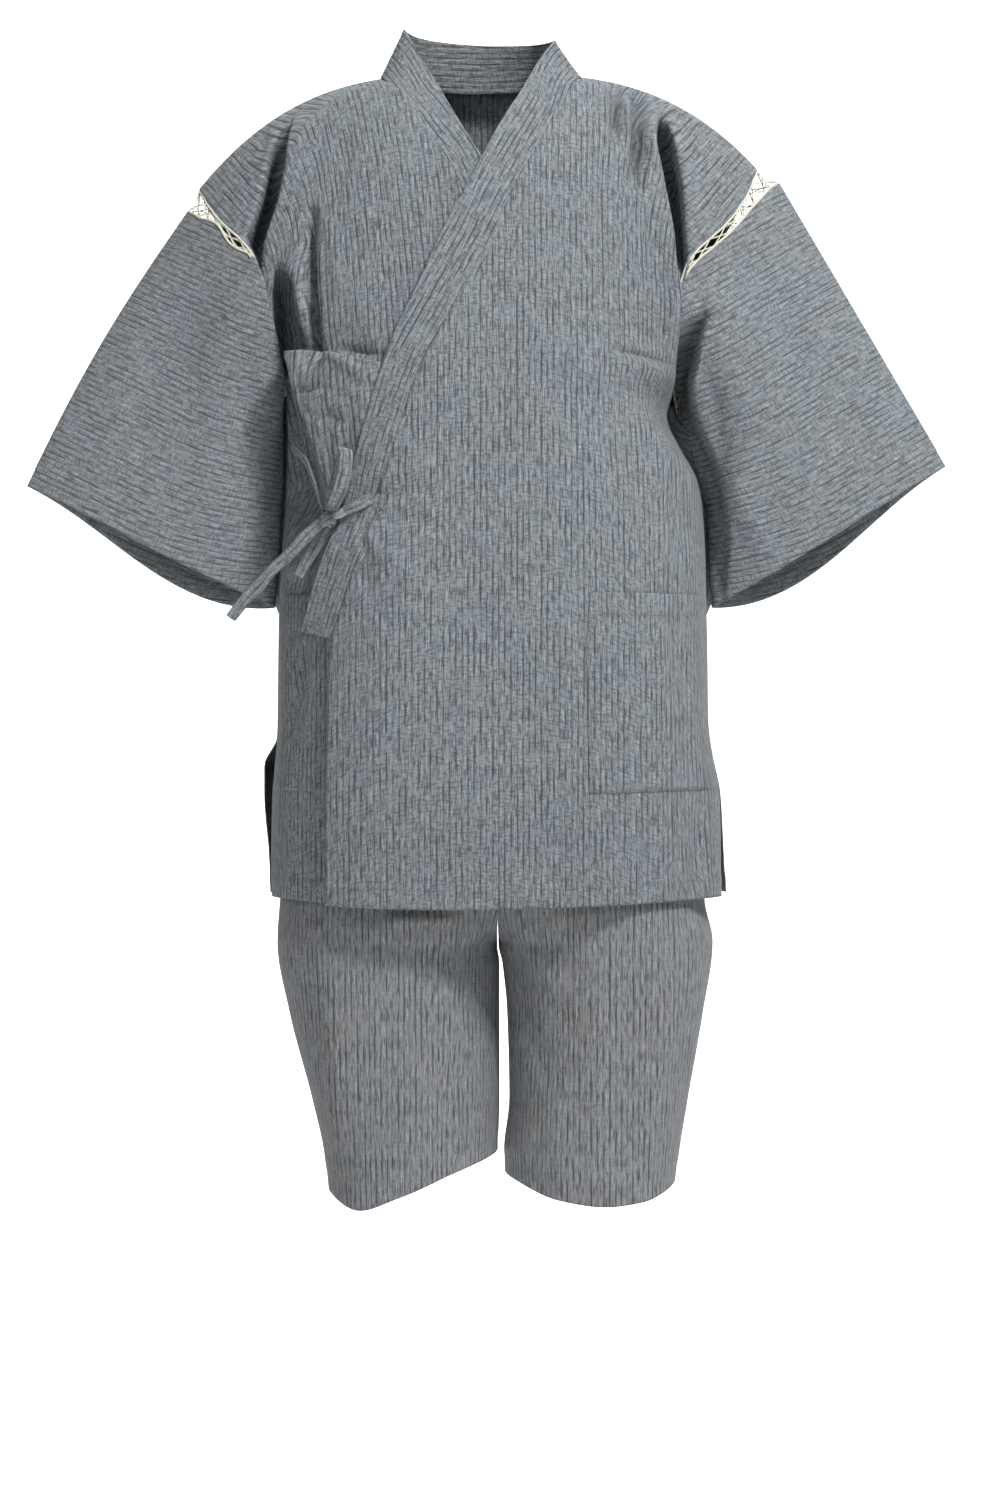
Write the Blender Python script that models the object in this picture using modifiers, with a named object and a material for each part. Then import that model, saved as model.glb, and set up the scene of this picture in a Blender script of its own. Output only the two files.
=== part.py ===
"""A jinbei set as it hangs on its wearer: a wrap jacket with lace let in at the armholes, tied at the
wearer's right, over knee-length shorts.

Metres, +Z up, the front towards -Y and the wearer's left towards +X. The origin is on the line of the
shoulders below the neck, where the wearer carries the jacket. Sizes below are in millimetres.
Each cut piece of cloth is one solid: a surface through tables of sections, given a wall.
"""

import math

import bmesh
import bpy
import numpy as np
from mathutils import Matrix

MM = 0.001

# Walls, and the space left between neighbours.
CLOTH_WALL = 1.5
BAND_WALL = 2.4
POCKET_WALL = 1.2
LACE_WALL = 1.2
TIE_WALL = 2.0
SEAM_GAP = 0.4

FRONT, BACK = -1, 1
RIGHT_HALF, LEFT_HALF = -1, 1


class Table:
    """Sizes in named columns, read at any value of the first column, with a smooth curve between rows."""

    def __init__(self, columns, *rows):
        self.columns = columns.split()
        self.rows = np.array(rows, float)

    def straight(self, name, place):
        """The same with straight stretches between rows."""
        return np.interp(place, self.rows[:, 0], self.rows[:, self.columns.index(name)])

    def at(self, name, place):
        x, y = self.rows[:, 0], self.rows[:, self.columns.index(name)]
        step = np.diff(x)
        slope = np.diff(y) / step
        tangent = np.concatenate([slope[:1], np.zeros(len(x) - 2), slope[-1:]])
        same_way = slope[:-1] * slope[1:] > 0
        both = np.where(same_way, slope[:-1] * slope[1:], 0)
        tangent[1:-1] = 2 * both / np.where(same_way, slope[:-1] + slope[1:], 1)
        place = np.clip(np.asarray(place, float), x[0], x[-1])
        i = np.clip(np.searchsorted(x, place) - 1, 0, len(step) - 1)
        t = (place - x[i]) / step[i]
        rise = y[i] + (y[i + 1] - y[i]) * t * t * (3 - 2 * t)
        return rise + step[i] * t * (1 - t) * (tangent[i] * (1 - t) - tangent[i + 1] * t)


def smooth_step(t):
    t = np.clip(t, 0, 1)
    return t * t * (3 - 2 * t)


def blend(a, b, t):
    return a + (b - a) * t


def stack(x, y, z):
    return np.stack(np.broadcast_arrays(x, y, z), axis=-1).astype(float)


# ---------------------------------------------------------------- the jacket's body

# "down" counts from the shoulder line to the hem. Each row is a section: the middle of the front and of
# the back, and how squarely the cloth turns from there to the side.
MIDDLE = Table(
    "down front_y front_z back_y back_z square turn droop",
    (0, 0, 0, 0, 0, 2.6, 1, 3.1),
    (40, -32, -8, 37, -1, 2.6, 1, 3.0),
    (90, -68, -38, 76, -12, 2.6, 1, 2.8),
    (150, -97, -90, 95, -58, 2.6, 1, 2.5),
    (200, -107, -148, 101, -122, 2.5, 0.95, 2.2),
    (250, -118, -200, 103, -182, 2.4, 0.8, 2.0),
    (340, -127, -290, 99, -286, 2.4, 0.45, 2.0),
    (450, -136, -400, 98, -400, 2.5, 0.4, 2.0),
    (550, -145, -500, 102, -500, 2.6, 0.39, 2.0),
    (650, -151, -600, 108, -600, 2.6, 0.38, 2.0),
    (710, -150, -660, 111, -660, 2.6, 0.38, 2.0),
    (770, -141, -720, 114, -720, 2.6, 0.38, 2.0),
    (812, -134, -762, 116, -760, 2.6, 0.38, 2.0),
)
UNDERARM_DOWN = 340
HEM_DOWN = 812

# The side seams below the arms, and from 662 down the two free edges of each side slit.
SIDES = Table(
    "down right_front left_front right_back left_back front_y back_y fall",
    (340, 184, 167, 184, 167, 0, 0, -10),
    (354, 183, 164, 183, 164, 0, 0, -9),
    (390, 182, 177, 182, 177, 0, 0, -6),
    (418, 183, 191, 183, 191, 0, 0, -5),
    (441, 184, 196, 184, 196, 0, 0, -4),
    (487, 187, 199, 187, 199, 0, 0, -2),
    (533, 189, 200, 189, 200, 0, 0, 0),
    (579, 190, 201, 190, 201, 0, 0, 2),
    (662, 191, 202, 192, 202, 0, 0, 3),
    (690, 193, 203, 204, 209, -6, 4, 4),
    (717, 195, 204, 204, 214, -9, 6, 5),
    (770, 196, 205, 200, 217, -14, 8, 6),
    (812, 195, 205, 198, 219, -16, 8, 8),
)

# Each armhole runs from the end of the shoulder to the underarm: (x, z) of both ends, how far its
# middle bows towards the body, and how far it reaches forwards and back.
ARMHOLES = {
    RIGHT_HALF: {"top": (-264, -106), "under": (-184, -300), FRONT: ("right", 62), BACK: (14, 74)},
    LEFT_HALF: {"top": (248, -88), "under": (167, -300), FRONT: ("left", 62), BACK: (12, 74)},
}

# In front the edge hardly bows at the shoulder and most below the lace's narrow end.
ARMHOLE_BOWS = Table(
    "w right left",
    (0, 0, 0),
    (0.1, 3, 0),
    (0.175, 8, 3),
    (0.22, 14, 6),
    (0.26, 19, 10),
    (0.33, 24, 20),
    (0.38, 25, 27),
    (0.45, 25, 31),
    (0.53, 22, 30),
    (0.6, 19, 27),
    (0.75, 13, 18),
    (0.85, 8, 11),
    (1, 0, 0),
)


def armhole(half, face, w):
    """The armhole's edge, from the shoulder at w = 0 to the underarm at w = 1."""
    hole = ARMHOLES[half]
    bow, reach = hole[face]
    belly = np.sin(np.pi * np.clip(w, 0, 1))
    inwards = ARMHOLE_BOWS.at(bow, w) if isinstance(bow, str) else bow * belly**1.4
    x = blend(hole["top"][0], hole["under"][0], w) - half * inwards
    z = blend(hole["top"][1], hole["under"][1], w)
    return stack(x, face * (reach * belly**0.8 + SEAM_GAP / 2), z)


def side_edge(half, face, down):
    """The outer edge of a front or back panel: the armhole, then the side seam, then the slit."""
    name = ("right" if half == RIGHT_HALF else "left") + ("_front" if face == FRONT else "_back")
    upper = armhole(half, face, np.minimum(down / UNDERARM_DOWN, 1))
    middle_z = MIDDLE.at("front_z" if face == FRONT else "back_z", down)
    gap = face * SEAM_GAP / 2
    lower = stack(
        half * SIDES.at(name, down),
        SIDES.at("front_y" if face == FRONT else "back_y", down) + gap,
        middle_z + SIDES.at("fall", down),
    )
    return np.where((down < UNDERARM_DOWN)[..., None], upper, lower)


def body_at(face, x, down):
    """The inner face of the jacket's body at a width x."""
    x, down = np.broadcast_arrays(np.asarray(x, float), np.asarray(down, float))
    edge = np.where(
        (x < 0)[..., None],
        side_edge(RIGHT_HALF, face, down),
        side_edge(LEFT_HALF, face, down),
    )
    side = "front" if face == FRONT else "back"
    middle_y = MIDDLE.at(side + "_y", down) + face * SEAM_GAP / 2
    middle_z = MIDDLE.at(side + "_z", down)
    m = np.clip(np.abs(x / edge[..., 0]), 0, 1)
    forward = (1 - m ** MIDDLE.at("square", down)) ** MIDDLE.at("turn", down)
    y = edge[..., 1] + (middle_y - edge[..., 1]) * forward
    z = middle_z + (edge[..., 2] - middle_z) * m ** MIDDLE.at("droop", down)
    return stack(x, y, z)


def down_at(face, x, z):
    """How far down the body's surface has the height z at a width x."""
    low, high = np.zeros(np.broadcast(x, z).shape), np.full(np.broadcast(x, z).shape, float(HEM_DOWN))
    for _ in range(40):
        middle = (low + high) / 2
        above = body_at(face, x, middle)[..., 2] > z
        low, high = np.where(above, middle, low), np.where(above, high, middle)
    return (low + high) / 2


# The deep folds where each front dives under the arm. On the wearer's right the line runs on
# down the left border of the pouch above the knot.
FOLDS = {
    RIGHT_HALF: Table(
        "down x depth width",
        (0, -206, 0, 14),
        (90, -200, 14, 12),
        (140, -193, 30, 9),
        (204, -181, 29, 9),
        (250, -175, 26, 9),
        (306, -172, 14, 9),
        (330, -171, 4, 9),
        (462, -136, 0, 12),
        (531, -152, 0, 12),
        (812, -152, 0, 12),
    ),
    LEFT_HALF: Table(
        "down x depth width",
        (0, 160, 0, 16),
        (70, 163, 8, 12),
        (110, 164, 26, 9),
        (200, 159, 30, 8),
        (260, 154, 12, 9),
        (330, 148, 0, 10),
        (450, 160, 0, 12),
        (812, 170, 0, 12),
    ),
}

FOLD_CLEARS_EDGE = 14

# The pouch on the wearer's right front: cloth pulled up by the knot, folded over the cloth above.
POUCH_TOP_DOWN = 306
POUCH_KNOT_DOWN = 462
POUCH_STANDS_OUT = 19
POUCH_LIP_RISE = 9
POUCH_FADES_FROM = 30
POUCH_TILT, POUCH_TILTS_OVER = 0.33, 70
POUCH_MIDDLE_X = -134


def pouch_tilt(x, down):
    """The lip lies aslant: how much further down the pouch's own rows lie at x."""
    return POUCH_TILT * (x - POUCH_MIDDLE_X) * np.exp(-(((down - POUCH_TOP_DOWN) / POUCH_TILTS_OVER) ** 2))


def pouch(x, down, fold_x):
    """How far the pouch stands out from the wearer's right front, from 0 to 1."""
    below = smooth_step((down - POUCH_TOP_DOWN) / 3)
    fades_from = POUCH_TOP_DOWN + POUCH_FADES_FROM
    fades = 1 - smooth_step((down - fades_from) / (POUCH_KNOT_DOWN - fades_from))
    inside = smooth_step((x - fold_x) / 6)
    eases = 1 - 0.45 * smooth_step((x - fold_x) / 70) - 0.55 * smooth_step((x + 105) / 60)
    return below * fades * inside * np.clip(eases, 0, 1)


OUTER_FRONT_LIFT, INNER_FRONT_DROP = 12, 7


def wrap_lift(half, x, down):
    """The fronts lie in two layers: the wearer's left one rises over the right one."""
    if half == LEFT_HALF:
        return OUTER_FRONT_LIFT * smooth_step((60 - x) / 180)
    return -INNER_FRONT_DROP * smooth_step((x + 110) / 60) * smooth_step((down - 60) / 120)


NORMAL_STEP = 0.5


def outwards(x, down):
    """The unit normal of the plain front, away from the wearer."""
    reach = np.abs(np.where(x < 0, side_edge(RIGHT_HALF, FRONT, down)[..., 0],
                            side_edge(LEFT_HALF, FRONT, down)[..., 0])) - 4 * NORMAL_STEP
    x = np.clip(x, -reach, reach)
    down = np.clip(down, NORMAL_STEP, HEM_DOWN - NORMAL_STEP)
    across = body_at(FRONT, x + NORMAL_STEP, down) - body_at(FRONT, x - NORMAL_STEP, down)
    along = body_at(FRONT, x, down + NORMAL_STEP) - body_at(FRONT, x, down - NORMAL_STEP)
    normal = np.cross(along, across)
    return normal / np.linalg.norm(normal, axis=-1, keepdims=True)


def front_surface(half, x, down):
    """The inner face of one front, with its lift, its armpit fold and, on the right, its pouch."""
    x, down = np.broadcast_arrays(np.asarray(x, float), np.asarray(down, float))
    normal = outwards(x, down)
    fold = FOLDS[half]
    fold_x = fold.at("x", down)
    trough = np.exp(-(((x - fold_x) / fold.at("width", down)) ** 2)) * fold.at("depth", down)
    edge = np.abs(side_edge(half, FRONT, down)[..., 0])
    trough *= smooth_step((edge - np.abs(x)) / FOLD_CLEARS_EDGE)
    out = wrap_lift(half, x, down)
    rise = 0
    if half == RIGHT_HALF:
        tilted = down - pouch_tilt(x, down)
        stands = pouch(x, tilted, fold_x)
        out = out + POUCH_STANDS_OUT * stands
        lip = np.exp(-(((tilted - POUCH_TOP_DOWN - 3) / 12) ** 2))
        rise = POUCH_LIP_RISE * stands * lip
    point = body_at(FRONT, x, down) + normal * out[..., None]
    point[..., 1] += trough
    point[..., 2] += rise
    return point


# The band's seam and free edges on each front, from the neck down to the band's end.
OUTER_BAND = Table(
    "drop seam_x free_x free_drop",
    (49, 66, 31, 23),
    (72, 55, 18, 45),
    (94, 43, 6, 67),
    (136, 21, -16, 111),
    (174, 3, -36, 149),
    (228, -26, -64, 210),
    (282, -55, -90, 267),
    (346, -76, -111, 336),
    (412, -93, -128, 404),
    (470, -115, -149, 457),
    (524, -133, -166, 515),
)
INNER_BAND = Table(
    "drop seam_x free_x free_drop",
    (38, -74, -47, 11),
    (62, -60, -34, 36),
    (96, -37, -13, 73),
    (123, -26, 6, 104),
    (178, 0, 35, 156),
    (232, 28, 62, 212),
    (286, 56, 89, 270),
    (350, 76, 109, 338),
    (412, 94, 127, 404),
    (470, 111, 143, 461),
    (524, 126, 158, 515),
)
# The band round the neck: where its seam edge and its free upper edge stand.
NECK_X, NECK_HALF, NECK_BACK = -5.5, 91, 62.5
COLLAR_X, COLLAR_HALF, COLLAR_BACK = -7, 68, 58
COLLAR_TOP = {RIGHT_HALF: 41, LEFT_HALF: 31}
NECK_SIDE_DROP, NECK_BACK_DROP, COLLAR_LEANS = 3.5, 5, 3
NECK_STATIONS = 7
# How far the shoulders and the back stay outside the band's seam edge.
NECK_CLEAR = 4.5
# Where the band leaves the fronts to climb the neck: (x, z) of its seam edge, and its free edge.
CLIMB = {
    LEFT_HALF: {"seam": (76, -18), "free": (46, -26, 7)},
    RIGHT_HALF: {"seam": (-87, -19), "free": (-58, -22, 8)},
}


# The fronts' free edges below the band's end: (drop, how far inwards of the band's seam edge).
FREE_EDGE_BELOW_BAND = ((640, 3), (750, 4))


def place_of(half, x, z):
    """The surface's own (x, down) of the point of a front that is seen at (x, z)."""
    own_x, own_z = float(x), float(z)
    for _ in range(6):
        down = down_at(FRONT, own_x, own_z)
        point = front_surface(half, own_x, down)
        own_x, own_z = own_x + x - point[0], own_z + z - point[2]
    return own_x, down


def seam_line(half):
    """Where a front ends in the band, and below the band in its own free edge."""
    band = OUTER_BAND if half == LEFT_HALF else INNER_BAND
    neck = NECK_X + half * (NECK_HALF + NECK_CLEAR)
    last_x = band.rows[-1, 1]
    seen = [CLIMB[half]["seam"]] + [(x, -drop) for drop, x in band.rows[:, :2]]
    seen += [(last_x - half * inwards, -drop) for drop, inwards in FREE_EDGE_BELOW_BAND]
    rows = [(down, x) for x, down in (place_of(half, *spot) for spot in seen)]
    return Table("down x", (0, neck), *rows, (HEM_DOWN + 30, rows[-1][1]))


def band_edges():
    """The band's stations, from the end of the outer front, round the neck, to the inner front's end."""
    seam, free = [], []
    for half, band in ((LEFT_HALF, OUTER_BAND), (RIGHT_HALF, INNER_BAND)):
        on_seam, on_free = [], []
        for drop, at_seam, at_free, free_drop in band.rows:
            on_seam.append(front_surface(half, *place_of(half, at_seam, -drop)))
            on_free.append(front_surface(half, *place_of(half, at_free, -free_drop)))
        on_seam.insert(0, front_surface(half, *place_of(half, *CLIMB[half]["seam"])))
        on_free.insert(0, np.array(CLIMB[half]["free"], float))
        order = slice(None, None, -1) if half == LEFT_HALF else slice(None)
        seam += on_seam[order]
        free += on_free[order]
        if half == LEFT_HALF:
            for i in range(NECK_STATIONS):
                turn = math.pi * i / (NECK_STATIONS - 1)
                c, s = math.cos(turn), math.sin(turn)
                top = blend(COLLAR_TOP[LEFT_HALF], COLLAR_TOP[RIGHT_HALF], i / (NECK_STATIONS - 1))
                seam_z = -NECK_SIDE_DROP - NECK_BACK_DROP * s
                seam.append(np.array((NECK_X + NECK_HALF * c, NECK_BACK * s, seam_z)))
                free.append(np.array((COLLAR_X + COLLAR_HALF * c, COLLAR_BACK * s - COLLAR_LEANS, top)))
    return np.array(seam), np.array(free)


def through(stations, t):
    """A smooth line through the stations, t from 0 to 1."""
    index = np.arange(len(stations))
    table = Table("i x y z", *np.column_stack([index, stations]))
    place = t * (len(stations) - 1)
    return np.stack([table.at(name, place) for name in "xyz"], axis=-1)


def band_surface(t, w):
    """The band, t along it and w across it from the seam edge to the free edge."""
    seam, free = band_edges()
    start, end = through(seam, t), through(free, t)
    return start + (end - start) * w[..., None]


# ---------------------------------------------------------------- the sleeves and their lace

# The arm hangs out and down. The lace opens to its full width on the shoulder and is folded
# together below it; the sleeve's upper and lower folds run to the cuff.
SLEEVES = {
    RIGHT_HALF: {
        "axis": (-0.49, 0, -0.87),
        "cuff_top": (-422, -10, -379),
        "opens": (0, 0, 0),
        "bows": (-6, 0, 3.5),
        "under": Table(
            "t x z", (0, -189, -310), (0.3, -188, -365), (0.65, -191, -430), (1, -195, -490)
        ),
    },
    LEFT_HALF: {
        "axis": (0.51, 0, -0.86),
        "cuff_top": (421, -10, -361),
        "opens": (9, 0, 8),
        "bows": (0, 0, 0),
        "under": Table(
            "t x z", (0, 175, -312), (0.25, 187, -352), (0.5, 201.5, -396), (0.75, 204.5, -443), (1, 207, -490)
        ),
    },
}
LACE_WIDTH = Table("w front back", (0, 23, 23), (0.12, 17, 22), (0.3, 9, 19), (0.5, 9, 16), (0.8, 14, 14), (1, 14, 13))
LACE_OPENS_OVER = 0.3
SLEEVE_HEAD_REACH = 58
CUFF_REACH = {FRONT: 42, BACK: 50}
CUFF_HANG = {FRONT: 2, BACK: 22}
SLEEVE_HALF_GAP = 0.8
HEAD_EASES_BY = 0.45


def sleeve_head(half, face, w):
    """The sleeve's upper edge: the armhole moved down the arm by the lace's width."""
    sleeve = SLEEVES[half]
    width = LACE_WIDTH.at("front" if face == FRONT else "back", w)
    opens = (1 - smooth_step(w / LACE_OPENS_OVER))[..., None] * np.array(sleeve["opens"], float)
    return armhole(half, face, w) + np.array(sleeve["axis"]) * width[..., None] + opens


def sleeve_surface(half, face, w, t):
    """The sleeve's inner face; w from the upper fold to the lower one, t from the head to the cuff."""
    sleeve = SLEEVES[half]
    head = sleeve_head(half, face, w)
    head_top = sleeve_head(half, face, np.zeros(1))[0]
    head_under = sleeve_head(half, face, np.ones(1))[0]
    top = blend(head_top, np.array(sleeve["cuff_top"], float), t[..., None])
    top += np.sin(math.pi * t)[..., None] * np.array(sleeve["bows"], float)
    under = stack(sleeve["under"].at("x", t), 4 * t, sleeve["under"].at("z", t))
    ring = blend(top, under, w[..., None])
    swell = w**0.75 * (1 - w) ** 0.5 / 0.55
    ring[..., 1] += face * (blend(SLEEVE_HEAD_REACH, CUFF_REACH[face], t) * swell + SLEEVE_HALF_GAP)
    # The hang is greatest two thirds of the way round, where 6.75 w^2 (1 - w) is 1.
    hang = 6.75 * w**2 * (1 - w) * t * CUFF_HANG[face]
    ring += np.array(sleeve["axis"]) * hang[..., None]
    straight = blend(head_top, head_under, w[..., None])
    eases = 1 - smooth_step(t / HEAD_EASES_BY)
    ring += (head - straight) * eases[..., None]
    ring[..., 1] -= face * (SLEEVE_HEAD_REACH * swell + SLEEVE_HALF_GAP) * eases
    return ring


# ---------------------------------------------------------------- the shorts

CROTCH_DROP = 796
RISE_BENDS_AT = 690
SHORTS = Table(
    "drop right_x left_x right_in left_in front_y back_y",
    (536, -136, 156, 10, 10, -100, 86),
    (600, -160, 178, 10, 10, -108, 92),
    (680, -180, 194, 10, 10, -112, 98),
    (762, -190, 200, 10, 10, -110, 102),
    (796, -192, 207, 9, 11, -106, 102),
    (860, -181, 198, 9, 17, -101, 101),
    (940, -160, 184, 9, 19, -97, 100),
    (990, -149, 176, 8, 14, -95, 98),
    (1050, -143, 169, 8, 17, -94, 96),
)
SHORTS_SQUARE = 2.3
# Below the crotch the two legs stand this far from the middle line, on top of the table.
LEGS_APART = 2.2
# How much of a panel's width turns with the body's roundness.
SHORTS_ROUND = 0.35
WAIST_DROP = 536
# The hems rise and fall round each leg: m is -1 at the inside of the leg and 1 at its outside.
HEMS = {
    RIGHT_HALF: Table(
        "m front back",
        (-1, 988, 988),
        (-0.5, 1006, 1000),
        (0, 1024, 1012),
        (0.5, 1036, 1020),
        (1, 1022, 1022),
    ),
    LEFT_HALF: Table(
        "m front back",
        (-1, 1008, 1008),
        (-0.5, 1026, 1018),
        (0, 1032, 1022),
        (0.5, 1028, 1020),
        (1, 1014, 1014),
    ),
}


def shorts_surface(half, face, s, t):
    """One panel of the shorts; s from the centre or inside seam to the side seam, t from waist to hem."""
    hems = HEMS[half]
    column = "front" if face == FRONT else "back"
    drop = blend(WAIST_DROP, hems.at(column, 2 * s - 1), t)
    past = np.clip((drop - RISE_BENDS_AT) / (CROTCH_DROP - RISE_BENDS_AT), 0, 1)
    m = blend(-past, 1, s)
    side = "right" if half == RIGHT_HALF else "left"
    apart = SEAM_GAP / 2 + LEGS_APART * past
    inner = SHORTS.at(side + "_in", drop) + half * apart
    outer = SHORTS.at(side + "_x", drop)
    x = blend(inner, outer, blend(s, np.sin(0.5 * np.pi * s), SHORTS_ROUND))
    depth = SHORTS.at(column + "_y", drop)
    y = depth * (1 - np.abs(m) ** SHORTS_SQUARE) ** (1 / SHORTS_SQUARE)
    return stack(x, y + face * SEAM_GAP / 2, -drop)


# ---------------------------------------------------------------- building with Blender

def clear_scene():
    for found in list(bpy.data.objects):
        bpy.data.objects.remove(found)


def material(name, colour, roughness):
    made = bpy.data.materials.new(name)
    made.use_nodes = True
    shader = made.node_tree.nodes["Principled BSDF"]
    shader.inputs["Base Color"].default_value = (*colour, 1)
    shader.inputs["Roughness"].default_value = roughness
    shader.inputs["Metallic"].default_value = 0
    made.diffuse_color = (*colour, 1)
    return made


def sheet(name, across, along, place, wall, cloth, closed=False):
    """A wall of cloth: a grid bent by place(u, v) and thickened away from the wearer."""
    mesh = bpy.data.meshes.new(name)
    grid = bmesh.new()
    bmesh.ops.create_grid(grid, x_segments=across, y_segments=along, size=1)
    uv = np.array([(v.co.x + 1, v.co.y + 1) for v in grid.verts]) / 2
    for vertex, point in zip(grid.verts, place(uv[:, 0], uv[:, 1]) * MM):
        vertex.co = point
    if closed:
        bmesh.ops.remove_doubles(grid, verts=grid.verts, dist=1e-5)
    grid.to_mesh(mesh)
    grid.free()
    mesh.materials.append(cloth)
    made = bpy.data.objects.new(name, mesh)
    parts.objects.link(made)
    thick = made.modifiers.new("wall", "SOLIDIFY")
    thick.thickness = wall * MM
    thick.offset = 1
    mesh.shade_smooth()
    return made


def fractions(u, steps):
    """Spreads u over uneven steps."""
    return np.interp(u, np.linspace(0, 1, len(steps)), steps)


# Columns crowd towards the armpit fold, and rows towards the shoulder and the pouch's lip. The
# pocket's edges lie on rows and columns of its front.
INNER_STEPS = (0, 0.16, 0.32, 0.47, 0.6, 0.7, 0.8, 0.89, 0.955, 1)
OUTER_STEPS = (0, 0.1, 0.26, 0.5, 0.76, 1)
FRONT_COLUMNS = len(INNER_STEPS) + len(OUTER_STEPS) - 2
FRONT_DOWNS = (0, 20, 42, 66, 92, 118, 146, 176, 208, 242, 276, 298, 305, 307.5, 310, 318, 334, 358,
               390, 425, 462, 500, 531, 560, 590, 625, 662, 690, 711, 740, 775, 812)
POCKET_COLUMNS = (5, 12)
POCKET_DOWNS = (531, 560, 590, 625, 662, 690, 711)
BACK_DOWNS = (0, 25, 52, 84, 120, 160, 205, 255, 300, 340, 375, 410, 450, 500, 560, 615, 662, 700, 755, 812)
BAND_GAP = 1.0


def front_grid(half, column, down):
    """The surface's own (x, down) on a front's column, counted from the band or free edge outwards."""
    reach = side_edge(half, FRONT, down)[:, 0]
    last = len(INNER_STEPS) - 1
    start = np.arcsin((SEAM_LINES[half].straight("x", down) + half * BAND_GAP) / reach)
    fold = np.arcsin(FOLDS[half].at("x", down) / reach)
    near = blend(start, fold, fractions(column / last, INNER_STEPS))
    far = blend(fold, math.pi / 2, fractions((column - last) / (len(OUTER_STEPS) - 1), OUTER_STEPS))
    x = reach * np.sin(np.where(column <= last, near, far))
    if half == RIGHT_HALF:
        down = down + pouch_tilt(x, down) * smooth_step((40 - x) / 60)
    return x, down


def front_panel(half):
    """One front, from the band or free edge across the fold line to the armhole and side seam."""
    def place(u, v):
        v = 1 - v if half == LEFT_HALF else v
        return front_surface(half, *front_grid(half, u * FRONT_COLUMNS, fractions(v, FRONT_DOWNS)))

    return place


BACK_HALF_TURNS = (0, 0.08, 0.15, 0.2, 0.235, 0.262, 0.33, 0.42, 0.52, 0.63, 0.75, 0.87, 1)
BACK_NECK_DOWN = 78


def back_panel(u, v):
    """The back in one piece, from the neck and the shoulders to the hem."""
    turn = fractions(np.abs(2 * u - 1), BACK_HALF_TURNS) * math.pi / 2
    half = np.where(u < 0.5, RIGHT_HALF, LEFT_HALF)

    def width(down):
        right, left = side_edge(RIGHT_HALF, BACK, down), side_edge(LEFT_HALF, BACK, down)
        return np.where(u < 0.5, right[:, 0], left[:, 0]) * np.sin(turn)

    from_neck = np.clip(np.abs(width(np.zeros(len(u))) - NECK_X) / (NECK_HALF + NECK_CLEAR), 0, 1)
    top = BACK_NECK_DOWN * np.sqrt(1 - from_neck**2)
    down = fractions(v, BACK_DOWNS)
    down = top + down * (HEM_DOWN - top) / HEM_DOWN
    return body_at(BACK, width(down), down)


def sleeve_tube(half):
    def place(u, v):
        face_front = u <= 0.5
        w = np.where(face_front, 2 * u, 2 - 2 * u)
        t = v if half == LEFT_HALF else 1 - v
        w = eased_ends(w)
        front, back = (sleeve_surface(half, face, w, t) for face in (FRONT, BACK))
        ring = np.where(face_front[:, None], front, back)
        ends = (w < 1e-9) | (w > 1 - 1e-9)
        return np.where(ends[:, None], (front + back) / 2, ring)

    return place


SLEEVE_AROUND = 24
SLEEVE_ENDS_EASED = 0.6


def eased_ends(w):
    """Spreads columns so that they crowd towards the sleeve's upper and lower folds."""
    return blend(w, 0.5 - 0.5 * np.cos(math.pi * w), SLEEVE_ENDS_EASED)


SLEEVE_COLUMNS = eased_ends(np.linspace(0, 1, SLEEVE_AROUND // 2 + 1))


def faceted(line, stations, w):
    """A point on the straight stretches between a line's stations."""
    points = line(np.asarray(stations, float))
    return np.array([np.interp(w, stations, points[:, axis]) for axis in range(3)])


LACE_GAP, LACE_GAP_UNDERARM = 1.3, 5.4
LACE_CELLS = 15
LACE_THREAD_HALF = 0.9
LACE_SMALLEST_HOLE = 1.3


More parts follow.
